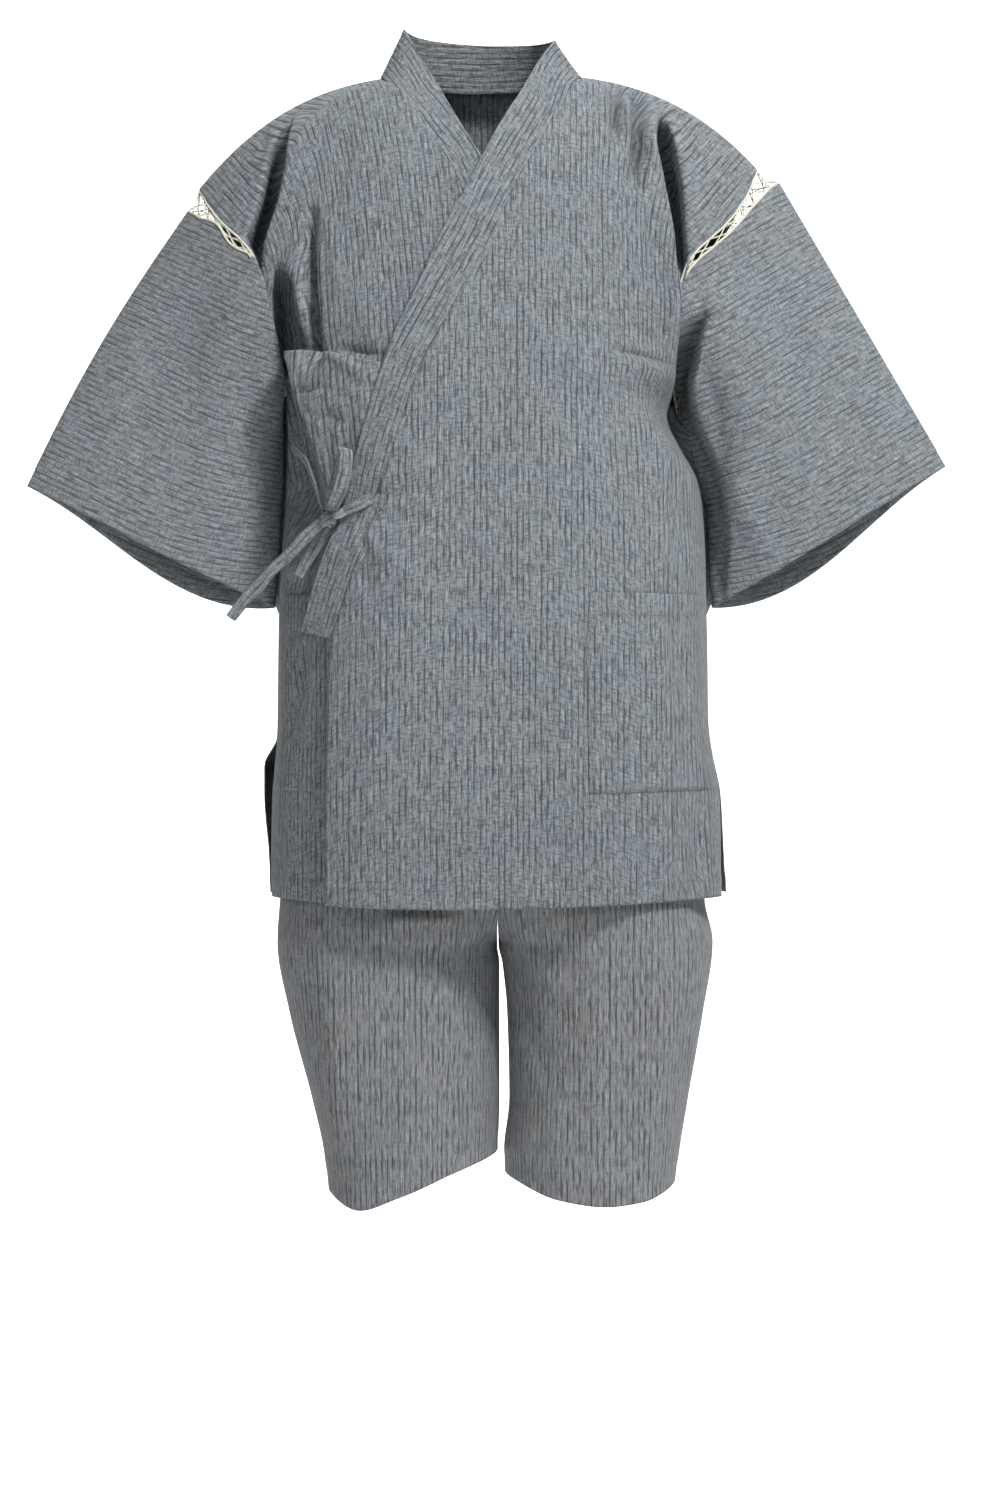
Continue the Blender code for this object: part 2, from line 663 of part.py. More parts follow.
def lace_strip(name, half, face):
    """A net of crossing threads between two braids, its gaps cut through."""
    rows = [down / UNDERARM_DOWN for down in (FRONT_DOWNS if face == FRONT else BACK_DOWNS)]
    rows = np.minimum(rows, 1)

    def at(w, q):
        w = blend(0.006, 0.965, w)
        hole = faceted(lambda w: armhole(half, face, w), rows, w)
        head = faceted(lambda w: sleeve_head(half, face, w), SLEEVE_COLUMNS, w)
        gap = blend(LACE_GAP, LACE_GAP_UNDERARM, smooth_step((w - 0.1) / 0.5))
        inset = gap / np.linalg.norm(head - hole)
        return blend(hole, head, blend(inset, 1 - inset, q)) * MM

    net = bmesh.new()
    known = {}

    def corner(w, q):
        key = (round(w, 6), q)
        if key not in known:
            known[key] = net.verts.new(at(np.float64(w), q))
        return known[key]

    def frame(corners):
        """A gap's rim: the polygon's corners and the same corners moved in by half a thread."""
        points = np.array([known_corner.co for known_corner in corners])
        sides = np.linalg.norm(np.roll(points, -1, axis=0) - points, axis=1)
        if len(points) == 3:
            centre = (np.roll(sides, -1)[:, None] * points).sum(axis=0) / sides.sum()
        else:
            centre = points.mean(axis=0)
        spokes = points - centre
        area = np.linalg.norm(np.cross(spokes, np.roll(spokes, -1, axis=0)).sum(axis=0)) / 2
        inside = 2 * area / sides.sum()
        if inside < (LACE_THREAD_HALF + LACE_SMALLEST_HOLE) * MM:
            net.faces.new(corners)
            return
        keep = 1 - LACE_THREAD_HALF * MM / inside
        inner = [net.verts.new(centre + (point - centre) * keep) for point in points]
        for i in range(len(corners)):
            j = (i + 1) % len(corners)
            net.faces.new((corners[i], corners[j], inner[j], inner[i]))

    for i in range(LACE_CELLS):
        start, middle, end = i / LACE_CELLS, (i + 0.5) / LACE_CELLS, (i + 1) / LACE_CELLS
        cross = corner(middle, 0.5)
        frame((corner(start, 0), corner(end, 0), cross))
        frame((corner(end, 1), corner(start, 1), cross))
        if i == 0:
            frame((corner(start, 1), corner(start, 0), cross))
        if i == LACE_CELLS - 1:
            frame((corner(end, 0), corner(end, 1), cross))
        else:
            frame((cross, corner(end, 0), corner(end + 0.5 / LACE_CELLS, 0.5), corner(end, 1)))
    if half * face == RIGHT_HALF * FRONT:
        bmesh.ops.reverse_faces(net, faces=net.faces)
    mesh = bpy.data.meshes.new(name)
    net.to_mesh(mesh)
    net.free()
    mesh.materials.append(lace_thread)
    made = bpy.data.objects.new(name, mesh)
    parts.objects.link(made)
    thick = made.modifiers.new("wall", "SOLIDIFY")
    thick.thickness = LACE_WALL * MM
    thick.offset = 1


def pocket(half):
    """A patch pocket low on a front, made from the front's own points, moved out."""
    def place(u, v):
        v = 1 - v if half == LEFT_HALF else v
        x, down = front_grid(half, blend(*POCKET_COLUMNS, u), fractions(v, POCKET_DOWNS))
        return front_surface(half, x, down) + outwards(x, down) * (CLOTH_WALL + SEAM_GAP)

    return place


def shorts_panel(half, face):
    flipped = half * face == LEFT_HALF * FRONT

    def place(u, v):
        return shorts_surface(half, face, u, 1 - v if flipped else v)

    return place


WAISTBAND_HIGH = 32
WAIST_QUARTER = 7


def waistband(u, v):
    """The waistband stands on the panels' upper edges."""
    place = np.mod(u * 4, 4)
    quarter = np.minimum(place.astype(int), 3)
    along = place - quarter
    s = np.where(quarter % 2 == 0, 1 - along, along)
    s = np.clip(s, 0.5 / WAIST_QUARTER, 1)
    ring = np.zeros((len(u), 3))
    quarters = ((LEFT_HALF, FRONT), (RIGHT_HALF, FRONT), (RIGHT_HALF, BACK), (LEFT_HALF, BACK))
    for number, (half, face) in enumerate(quarters):
        here = quarter == number
        ring[here] = shorts_surface(half, face, s[here], np.zeros(here.sum()))
    ring[:, 2] += SEAM_GAP + WAISTBAND_HIGH * v
    return ring


# ---------------------------------------------------------------- the ties

KNOT = (-142, -131, -413)
KNOT_HALF_SIZE = (8, 6, 7)
TIE_WIDE = 11
TIES = {
    "tie_loop": ((-136, -137, -402), (-130, -143, -380), (-122, -147, -360), (-119, -151, -352),
                 (-121, -155, -359), (-129, -152, -380), (-135, -147, -402)),
    "tie_long_tail": ((-148, -130, -420), (-176, -125, -447), (-203, -117, -474), (-229, -108, -503)),
    "tie_short_tail": ((-143.5, -120, -423), (-154, -115, -441), (-168, -108, -466)),
}


def ribbon(name, points, wide, facing):
    """A flat tie along its points, its face turned towards "facing"."""
    points = np.array(points, float)
    spans = (len(points) - 1) * 2

    def place(u, v):
        centre = through(points, u)
        ahead = through(points, np.minimum(u + 0.02, 1)) - through(points, np.maximum(u - 0.02, 0))
        side = np.cross(ahead, np.array(facing, float))
        side /= np.linalg.norm(side, axis=1, keepdims=True)
        return centre + side * ((v - 0.5) * wide)[:, None]

    return sheet(name, spans, 1, place, TIE_WALL, cotton)


def on_front(half, x, z, lift):
    """The point seen at (x, z) on a front, moved out by "lift"."""
    own_x, down = place_of(half, x, z)
    return front_surface(half, own_x, down) + outwards(np.float64(own_x), np.float64(down)) * lift


SEAM_LINES = {half: seam_line(half) for half in (LEFT_HALF, RIGHT_HALF)}

clear_scene()
parts = bpy.data.collections.new("jinbei_set")
bpy.context.scene.collection.children.link(parts)
cotton = material("blue_grey_cotton", (0.20, 0.23, 0.25), 0.85)
lace_thread = material("cream_lace", (0.72, 0.70, 0.60), 0.8)

sheet("back", 2 * len(BACK_HALF_TURNS) - 2, len(BACK_DOWNS) - 1, back_panel, CLOTH_WALL, cotton)
for half, side in ((LEFT_HALF, "left"), (RIGHT_HALF, "right")):
    sheet("front_" + side, FRONT_COLUMNS, len(FRONT_DOWNS) - 1, front_panel(half), CLOTH_WALL, cotton)
    sheet("sleeve_" + side, SLEEVE_AROUND, 9, sleeve_tube(half), CLOTH_WALL, cotton, closed=True)
    lace_strip("lace_" + side + "_front", half, FRONT)
    lace_strip("lace_" + side + "_back", half, BACK)
    pocket_across = POCKET_COLUMNS[1] - POCKET_COLUMNS[0]
    sheet("pocket_" + side, pocket_across, len(POCKET_DOWNS) - 1, pocket(half), POCKET_WALL, cotton)
    sheet("shorts_front_" + side, 12, 12, shorts_panel(half, FRONT), CLOTH_WALL, cotton)
    sheet("shorts_back_" + side, 12, 12, shorts_panel(half, BACK), CLOTH_WALL, cotton)
sheet("shorts_waistband", 4 * WAIST_QUARTER, 2, waistband, CLOTH_WALL, cotton, closed=True)
sheet("collar_band", 58, 3, band_surface, BAND_WALL, cotton)

for name, points in TIES.items():
    ribbon(name, points, TIE_WIDE, (0, -1, 0))
outer_tie = [on_front(LEFT_HALF, x, -412, BAND_WALL + TIE_WALL) for x in (-100, -108, -116, -124)]
outer_tie.append((-131, -136, -412))
ribbon("tie_outer", outer_tie, TIE_WIDE, (0, -1, 0))
side_tie = [on_front(RIGHT_HALF, x, z, 3 * TIE_WALL) for x, z in ((-178, -352), (-173, -356))]
side_tie += [(-165, -100, -363), (-154, -116, -384), (-148, -124, -402)]
ribbon("tie_side", side_tie, TIE_WIDE, (-0.5, -1, 0))
bpy.ops.mesh.primitive_uv_sphere_add(segments=10, ring_count=6, radius=MM, location=np.array(KNOT) * MM)
knot = bpy.context.object
knot.name = "tie_knot"
knot.data.transform(Matrix.Diagonal((*KNOT_HALF_SIZE, 1)))
for collection in list(knot.users_collection):
    collection.objects.unlink(knot)
parts.objects.link(knot)
knot.data.materials.append(cotton)
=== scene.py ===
"""A jinbei set dressed round its solids: crinkled cotton with lace let in at the armholes.

Sizes in the tables are millimetres and meshes are metres. The front faces -Y, the wearer's left is +X,
and the origin lies on the line of the shoulders below the neck.
"""

import math

import bmesh
import bpy
import numpy as np
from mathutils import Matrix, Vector


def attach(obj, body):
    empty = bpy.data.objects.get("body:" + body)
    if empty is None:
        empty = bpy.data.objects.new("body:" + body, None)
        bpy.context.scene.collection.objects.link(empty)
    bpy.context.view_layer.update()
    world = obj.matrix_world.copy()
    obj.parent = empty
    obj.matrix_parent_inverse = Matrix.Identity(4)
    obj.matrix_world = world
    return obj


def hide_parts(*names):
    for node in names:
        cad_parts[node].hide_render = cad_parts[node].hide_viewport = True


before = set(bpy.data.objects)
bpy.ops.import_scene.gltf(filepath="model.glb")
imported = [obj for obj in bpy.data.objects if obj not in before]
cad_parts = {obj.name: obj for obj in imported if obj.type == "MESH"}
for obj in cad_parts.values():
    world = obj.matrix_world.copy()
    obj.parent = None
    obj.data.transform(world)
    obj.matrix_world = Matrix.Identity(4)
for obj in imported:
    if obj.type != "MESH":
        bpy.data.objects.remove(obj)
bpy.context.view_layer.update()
BODY = "root"
MM = 0.001

# ---------------------------------------------------------------- the camera
# It stands level in front of the jacket, four metres away, with a long lens.

EYE_AWAY = 4.0
EYE_AT = (0.012, -0.621)
VIEW_HIGH = 1.38
LONG_SIDE_OF_SENSOR = 36

eye = bpy.data.objects.new("eye", bpy.data.cameras.new("eye"))
bpy.context.scene.collection.objects.link(eye)
bpy.context.scene.camera = eye
eye.location = (EYE_AT[0], -EYE_AWAY, EYE_AT[1])
eye.rotation_euler = (math.pi / 2, 0, 0)
eye.data.sensor_width = LONG_SIDE_OF_SENSOR
eye.data.lens = LONG_SIDE_OF_SENSOR * EYE_AWAY / VIEW_HIGH
eye.data.clip_end = 50

# ---------------------------------------------------------------- the back
# One piece of crinkled cotton from the hem up to the line of the shoulders, hollowed for the neck.
# It hangs from the shoulder blades, with a slit at each side seam below the hips.

FRONT, BACK = -1, 1
RIGHT, LEFT = -1, 1
SIDES_NAMED = {LEFT: "left", RIGHT: "right"}
FACES_NAMED = {FRONT: "front", BACK: "back"}


class Table:
    """Sizes in named columns, read at any value of the first column, with a smooth curve between rows."""

    def __init__(self, columns, *rows):
        self.columns = columns.split()
        self.rows = np.array(rows, float)

    def straight(self, name, place):
        return np.interp(place, self.rows[:, 0], self.rows[:, self.columns.index(name)])

    def at(self, name, place):
        x, y = self.rows[:, 0], self.rows[:, self.columns.index(name)]
        step = np.diff(x)
        slope = np.diff(y) / step
        tangent = np.concatenate([slope[:1], np.zeros(len(x) - 2), slope[-1:]])
        same_way = slope[:-1] * slope[1:] > 0
        both = np.where(same_way, slope[:-1] * slope[1:], 0)
        tangent[1:-1] = 2 * both / np.where(same_way, slope[:-1] + slope[1:], 1)
        place = np.clip(np.asarray(place, float), x[0], x[-1])
        i = np.clip(np.searchsorted(x, place) - 1, 0, len(step) - 1)
        t = (place - x[i]) / step[i]
        rise = y[i] + (y[i + 1] - y[i]) * t * t * (3 - 2 * t)
        return rise + step[i] * t * (1 - t) * (tangent[i] * (1 - t) - tangent[i + 1] * t)


def smooth_step(t):
    t = np.clip(t, 0, 1)
    return t * t * (3 - 2 * t)


def blend(a, b, t):
    return a + (b - a) * t


def stack(x, y, z):
    return np.stack(np.broadcast_arrays(x, y, z), axis=-1).astype(float)


def fractions(u, steps):
    """Spreads u over uneven steps."""
    return np.interp(u, np.linspace(0, 1, len(steps)), steps)


# "down" counts from the shoulder line to the hem: the middle of the front and of the back, and how
# squarely the cloth turns from there to the side.
SEAM_GAP = 0.4
MIDDLE = Table(
    "down front_y front_z back_y back_z square turn droop",
    (0, 0, 0, 0, 0, 2.6, 1, 3.1),
    (40, -32, -8, 37, -1, 2.6, 1, 3),
    (90, -68, -38, 76, -12, 2.6, 1, 2.8),
    (150, -97, -90, 95, -58, 2.6, 1, 2.5),
    (200, -107, -148, 101, -122, 2.5, 0.95, 2.2),
    (250, -118, -200, 103, -182, 2.4, 0.8, 2),
    (340, -127, -290, 99, -286, 2.4, 0.45, 2),
    (450, -136, -400, 98, -400, 2.5, 0.4, 2),
    (550, -145, -500, 102, -500, 2.6, 0.39, 2),
    (650, -151, -600, 108, -600, 2.6, 0.38, 2),
    (710, -150, -660, 111, -660, 2.6, 0.38, 2),
    (770, -141, -720, 114, -720, 2.6, 0.38, 2),
    (812, -134, -762, 116, -760, 2.6, 0.38, 2),
)
UNDERARM_DOWN = 340
SLIT_DOWN = 662
HEM_DOWN = 812

# The side seams below the arms, and from SLIT_DOWN the two free edges of each slit.
SIDES = Table(
    "down right_front left_front right_back left_back front_y back_y fall",
    (340, 184, 167, 184, 167, 0, 0, -10),
    (354, 183, 164, 183, 164, 0, 0, -9),
    (390, 182, 177, 182, 177, 0, 0, -6),
    (418, 183, 191, 183, 191, 0, 0, -5),
    (441, 184, 196, 184, 196, 0, 0, -4),
    (487, 187, 199, 187, 199, 0, 0, -2),
    (533, 189, 200, 189, 200, 0, 0, 0),
    (579, 190, 201, 190, 201, 0, 0, 2),
    (662, 191, 202, 192, 202, 0, 0, 3),
    (690, 193, 203, 204, 209, -6, 4, 4),
    (717, 195, 204, 204, 214, -9, 6, 5),
    (770, 196, 205, 200, 217, -14, 8, 6),
    (812, 195, 205, 198, 219, -16, 8, 8),
)
# Each armhole: (x, z) of its ends, how far its middle bows inwards and how far it reaches out in depth.
ARMHOLES = {
    RIGHT: {"top": (-264, -106), "under": (-184, -300), FRONT: ("right", 62), BACK: (14, 74)},
    LEFT: {"top": (248, -88), "under": (167, -300), FRONT: ("left", 62), BACK: (12, 74)},
}

# In front the edge hardly bows at the shoulder and most below the lace's narrow end.
ARMHOLE_BOWS = Table(
    "w right left",
    (0, 0, 0), (0.1, 3, 0), (0.175, 8, 3), (0.22, 14, 6), (0.26, 19, 10), (0.33, 24, 20), (0.38, 25, 27),
    (0.45, 25, 31), (0.53, 22, 30), (0.6, 19, 27), (0.75, 13, 18), (0.85, 8, 11), (1, 0, 0),
)


def armhole(half, face, w):
    """The armhole's edge, from the shoulder at w = 0 to the underarm at w = 1."""
    hole = ARMHOLES[half]
    bow, reach = hole[face]
    belly = np.sin(np.pi * np.clip(w, 0, 1))
    inwards = ARMHOLE_BOWS.at(bow, w) if isinstance(bow, str) else bow * belly**1.4
    x = blend(hole["top"][0], hole["under"][0], w) - half * inwards
    z = blend(hole["top"][1], hole["under"][1], w)
    return stack(x, face * (reach * belly**0.8 + SEAM_GAP / 2), z)


def side_edge(half, face, down):
    """The outer edge of a front or back: the armhole, then the side seam, then the slit."""
    here = FACES_NAMED[face]
    upper = armhole(half, face, np.minimum(down / UNDERARM_DOWN, 1))
    lower = stack(
        half * SIDES.at(SIDES_NAMED[half] + "_" + here, down),
        SIDES.at(here + "_y", down) + face * SEAM_GAP / 2,
        MIDDLE.at(here + "_z", down) + SIDES.at("fall", down),
    )
    return np.where((down < UNDERARM_DOWN)[..., None], upper, lower)


def body_at(face, x, down):
    """The inner face of the jacket's body at a width x."""
    x, down = np.broadcast_arrays(np.asarray(x, float), np.asarray(down, float))
    edge = np.where((x < 0)[..., None], side_edge(RIGHT, face, down), side_edge(LEFT, face, down))
    middle_y = MIDDLE.at(FACES_NAMED[face] + "_y", down) + face * SEAM_GAP / 2
    middle_z = MIDDLE.at(FACES_NAMED[face] + "_z", down)
    m = np.clip(np.abs(x / edge[..., 0]), 0, 1)
    forward = (1 - m ** MIDDLE.at("square", down)) ** MIDDLE.at("turn", down)
    y = edge[..., 1] + (middle_y - edge[..., 1]) * forward
    z = middle_z + (edge[..., 2] - middle_z) * m ** MIDDLE.at("droop", down)
    return stack(x, y, z)


NORMAL_STEP = 0.5


def outwards(face, x, down):
    """The unit normal of the plain body, away from the wearer."""
    edge = np.where(x < 0, side_edge(RIGHT, face, down)[..., 0], side_edge(LEFT, face, down)[..., 0])
    reach = np.abs(edge) - 4 * NORMAL_STEP
    x = np.clip(x, -reach, reach)
    down = np.clip(down, NORMAL_STEP, HEM_DOWN - NORMAL_STEP)
    across = body_at(face, x + NORMAL_STEP, down) - body_at(face, x - NORMAL_STEP, down)
    along = body_at(face, x, down + NORMAL_STEP) - body_at(face, x, down - NORMAL_STEP)
    normal = np.cross(along, across) * -face
    return normal / np.linalg.norm(normal, axis=-1, keepdims=True)


def creased(creases, x, z):
    """How far soft creases raise the cloth at (x, z). Each is x, z, x2, z2 from end to end, its bow to the
    side, its height (a trough is below zero) and its half width."""
    rise = np.zeros(np.broadcast(x, z).shape)
    for x1, z1, x2, z2, bow, height, wide in creases:
        length = math.hypot(x2 - x1, z2 - z1)
        ahead = ((x2 - x1) / length, (z2 - z1) / length)
        run = (x - x1) * ahead[0] + (z - z1) * ahead[1]
        t = np.clip(run / length, 0, 1)
        aside = (x - x1) * -ahead[1] + (z - z1) * ahead[0] - bow * 4 * t * (1 - t)
        beyond = run - t * length
        fades = np.sin(math.pi * blend(0.08, 0.92, t)) ** 0.7
        rise += height * fades * np.exp(-(aside**2 + beyond**2) / wide**2)
    return rise


def uneven(x, z, height=1.0):
    """The slight swells that hanging cloth has all over."""
    swell = np.sin(x / 23 + 0.7 * np.sin(z / 41)) * np.sin(z / 57 + 0.9 * np.sin(x / 35) + 1.1)
    ripple = np.sin(x / 8.5 + 1.3 * np.sin(z / 26) + 0.4) * np.sin(z / 19 + np.sin(x / 14))
    return height * (0.8 * swell + 0.28 * ripple)


def turned_hem(to_edge, wide):
    """The step where an edge is turned in, three layers thick: 1 within its width."""
    return smooth_step((wide + 0.8 - to_edge) / 1.6)


def lengths_along(points, axis):
    """Arc lengths along one direction of a grid of points."""
    steps = np.linalg.norm(np.diff(points, axis=axis), axis=-1)
    first = [(0, 0), (0, 0)]
    first[axis] = (1, 0)
    return np.pad(np.cumsum(steps, axis=axis), first)


def colour_of(code):
    """A linear colour from an sRGB hex code."""
    parts = np.array([int(code[i:i + 2], 16) for i in (1, 3, 5)]) / 255
    linear = np.where(parts <= 0.04045, parts / 12.92, ((parts + 0.055) / 1.055) ** 2.4)
    return (*linear, 1)


def add_node(tree, kind, settings=None, **sockets):
    """Adds a node. A socket's value is a number, a colour or another node's output."""
    node = tree.nodes.new(kind)
    for key, value in (settings or {}).items():
        setattr(node, key, value)
    for key, value in sockets.items():
        socket = node.inputs[int(key[1:])] if key[1:].isdigit() else node.inputs[key.replace("_", " ")]
        if isinstance(value, bpy.types.NodeSocket):
            tree.links.new(value, socket)
        else:
            socket.default_value = value
    return node


# Shijira-woven cotton: warp stripes of slack and tight threads shrink apart in the wash and leave a
# dry, matt, crinkled cloth. The yarns are dyed in uneven lengths, so a dark dash runs along one rib or
# the next, and shorter ones cross them along the weft. The long dashes are laid only in the ribs'
# troughs and the pale streaks mostly on their crests: painted shade and painted highlight on the
# ribs' relief. The ribs are 5.4 mm apart.
RIB_APART, RIB_WANDERS = 5.4, 1.3
# How wide the spots of each noise are across the warp, how long along it, their detail and their start.
SPOTS = {
    "dashes": (4.2, 27, 2, 0), "fine": (1, 12, 1, 17.9), "streaks": (1.3, 16, 1, 31.7),
    "weft": (6, 2.1, 1, 11.3), "patches": (60, 60, 2, 5.1), "puckers": (1.7, 8, 1, 7.7),
}
PUCKER_HEIGHT, RIB_PUCKERS, WEFT_PUCKERS = 0.5, 0.6, 1.1


def new_material(name, **settings):
    """A material, its node tree and its shader, with the shader's inputs set."""
    made = bpy.data.materials.new(name)
    made.use_nodes = True
    shader = made.node_tree.nodes["Principled BSDF"]
    for key, value in settings.items():
        shader.inputs[key.replace("_", " ")].default_value = value
    return made, made.node_tree, shader


def crinkled_cotton(name, ground, dark, pale, warm, cool, crossed=0.42):
    """The cloth's material in its own colours, "crossed" by this much of the weft's shorter dashes."""
    made, tree, shader = new_material(
        name, Roughness=0.92, Specular_IOR_Level=0.25, Sheen_Weight=0.12, Sheen_Roughness=0.6
    )
    threads = add_node(tree, "ShaderNodeUVMap", {"uv_map": "threads"}).outputs["UV"]

    tones = {}
    for spot, (wide, long, detail, start) in SPOTS.items():
        scale = (1 / (wide * MM), 1 / (long * MM), 1)
        place = add_node(tree, "ShaderNodeMapping", Vector=threads, Scale=scale, Location=(start, start, 0))
        tones[spot] = add_node(
            tree, "ShaderNodeTexNoise", {"noise_dimensions": "2D"},
            Vector=place.outputs["Vector"], Scale=1.0, Detail=detail, Roughness=0.5,
        ).outputs["Fac"]
    # The ribs wander a little, each with its neighbours. A wave's bands lie 0.314 / Scale apart.
    place = add_node(
        tree, "ShaderNodeVectorMath", {"operation": "MULTIPLY"}, _0=threads, _1=(1 / MM, 0.05 / MM, 1)
    ).outputs[0]
    tones["ribs"] = add_node(
        tree, "ShaderNodeTexWave", {"wave_type": "BANDS", "bands_direction": "X", "wave_profile": "SIN"},
        Vector=place, Scale=0.314 / RIB_APART, Distortion=RIB_WANDERS, Detail=1.0, Detail_Scale=1.6,
    ).outputs["Fac"]
    # Each colour is laid on by one tone, or by two multiplied: where it starts to show, where it shows in
    # full, and how strongly at either.
    colour = colour_of(ground)
    for laid_on, *ramps in (
        (warm, ("patches", 0.42, 0.68, 0, 0.25)),
        (cool, ("patches", 0.55, 0.34, 0, 0.22)),
        # Pale streaks, strongest on the ribs' crests where the bump is highest: partly painted highlight.
        (pale, ("streaks", 0.46, 0.66, 0, 1), ("ribs", 0.3, 0.9, 0.2, 0.7)),
        (dark, ("weft", 0.48, 0.66, 0, crossed)),
        (dark, ("fine", 0.52, 0.32, 0, 0.6)),
        # Dark dashes, kept to the ribs' troughs where the bump is lowest: dyed dashes placed as painted
        # shade.
        (dark, ("ribs", 0.3, 0.03, 0, 1), ("dashes", 0.6, 0.38, 0.08, 0.8)),
    ):
        factor = 1.0
        for tone, low, high, least, most in ramps:
            ramp = add_node(
                tree, "ShaderNodeMapRange", {"interpolation_type": "SMOOTHSTEP"},
                Value=tones[tone], From_Min=low, From_Max=high, To_Min=least, To_Max=most,
            ).outputs["Result"]
            factor = add_node(
                tree, "ShaderNodeMath", {"operation": "MULTIPLY"}, _0=ramp, _1=factor
            ).outputs[0]
        colour = add_node(
            tree, "ShaderNodeMix", {"data_type": "RGBA"}, _0=factor, _6=colour, _7=colour_of(laid_on)
        ).outputs[2]
    tree.links.new(colour, shader.inputs["Base Color"])
    # The same rib wave raises the bump, so the painted dark lies in its hollows and the painted pale on its
    # crests.
    height = tones["puckers"]
    for tone, raised in (("ribs", RIB_PUCKERS), ("weft", WEFT_PUCKERS)):
        height = add_node(
            tree, "ShaderNodeMath", {"operation": "MULTIPLY_ADD"}, _0=tones[tone], _1=raised, _2=height
        ).outputs[0]
    bump = add_node(tree, "ShaderNodeBump", Height=height, Strength=0.8, Distance=PUCKER_HEIGHT * MM)
    tree.links.new(bump.outputs["Normal"], shader.inputs["Normal"])
    return made


body_cotton = crinkled_cotton(
    "shijira_cotton", ground="#888f93", dark="#3b4044", pale="#a4abaf", warm="#8a8780", cool="#828a99"
)
CLOTH_THICK = 1.0
CLOTH_RAISED = 0.3


def new_object(name, data):
    made = bpy.data.objects.new(name, data)
    bpy.context.scene.collection.objects.link(made)
    return made


def cloth_mesh(name, points, threads, round_it=False):
    """A mesh from a grid of points, columns first. Its UV map holds the place across and along the warp."""
    columns, rows = points.shape[0] - (1 if round_it else 0), points.shape[1]
    mesh = bpy.data.meshes.new(name)
    last = columns if round_it else columns - 1
    i, j = np.meshgrid(np.arange(last), np.arange(rows - 1), indexing="ij")
    next_i = (i + 1) % columns
    corners = np.stack([i * rows + j, next_i * rows + j, next_i * rows + j + 1, i * rows + j + 1], axis=-1)
    in_map = np.stack([i * rows + j, (i + 1) * rows + j, (i + 1) * rows + j + 1, i * rows + j + 1], axis=-1)
    mesh.from_pydata((points[:columns] * MM).reshape(-1, 3), [], corners.reshape(-1, 4).tolist())
    layer = mesh.uv_layers.new(name="threads")
    layer.data.foreach_set("uv", (threads * MM).reshape(-1, 2)[in_map.reshape(-1)].reshape(-1))
    mesh.shade_smooth()
    return new_object(name, mesh)


def cloth_shell(name, points, threads, cloth, thick=CLOTH_THICK, round_it=False):
    """A thin wall of cloth from its inner face outwards."""
    made = cloth_mesh(name, points, threads, round_it)
    made.data.materials.append(cloth)
    wall = made.modifiers.new("wall", "SOLIDIFY")
    wall.thickness = thick * MM
    wall.offset = 1
    return made


def give_to_body(piece, slot, *nodes):
    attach(piece, BODY)
    if nodes:
        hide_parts(*nodes)


def woven_place(face, x, down, samples=17):
    """The place on the flat cloth, across and along the warp, from arc lengths over the plain body."""
    part = np.linspace(0, 1, samples)
    across = body_at(face, x[..., None] * part, down[..., None] + 0 * part)
    along = body_at(face, x[..., None] + 0 * part, down[..., None] * part)
    u = np.linalg.norm(np.diff(across, axis=-2), axis=-1).sum(axis=-1) * np.sign(x)
    v = np.linalg.norm(np.diff(along, axis=-2), axis=-1).sum(axis=-1)
    return np.stack([u, v], axis=-1)


# The armhole follows the warp, so on each drop shoulder the threads run along it: about a point (x, z)
# of the body and its place on the flat cloth, in the direction of the armhole.
SHOULDER_GRAIN = {
    RIGHT: {"about": (-200, -125), "place": (-215, 95), "along": (0.63, -0.78)},
    LEFT: {"about": (166, -108), "place": (180, 96), "along": (-0.62, -0.78)},
}


def turned_shoulder(half, threads, points, past, soft):
    """The same place with the drop shoulder's threads turned, where "past" the armpit's line is positive."""
    grain = SHOULDER_GRAIN[half]
    ahead_x, ahead_z = points[..., 0] - grain["about"][0], points[..., 2] - grain["about"][1]
    along_x, along_z = grain["along"]
    turned = np.stack(
        [grain["place"][0] - ahead_x * along_z + ahead_z * along_x,
         grain["place"][1] + ahead_x * along_x + ahead_z * along_z], axis=-1)
    part = smooth_step(past / soft / 2 + 0.5)[..., None]
    return blend(threads, turned, part)


def normals_of(points, round_it=False):
    """Unit normals of a grid of points, across x along."""
    if round_it:
        wrapped = np.concatenate([points[-2:-1], points, points[1:2]])
        across = (wrapped[2:] - wrapped[:-2]) / 2
    else:
        across = np.gradient(points, axis=0)
    normal = np.cross(across, np.gradient(points, axis=1))
    length = np.linalg.norm(normal, axis=-1, keepdims=True)
    return normal / np.maximum(length, 1e-9)


HEM_WIDE, HEM_STEP = 20, 0.5
UNDERARM_FOLD = 24
UNDERARM_FOLD_HALF, UNDERARM_FOLD_ENDS = 20, 570
BACK_COLUMNS, BACK_ROWS = 150, 190
BACK_NECK_DOWN, BACK_NECK_X, BACK_NECK_HALF = 78, -5.5, 93
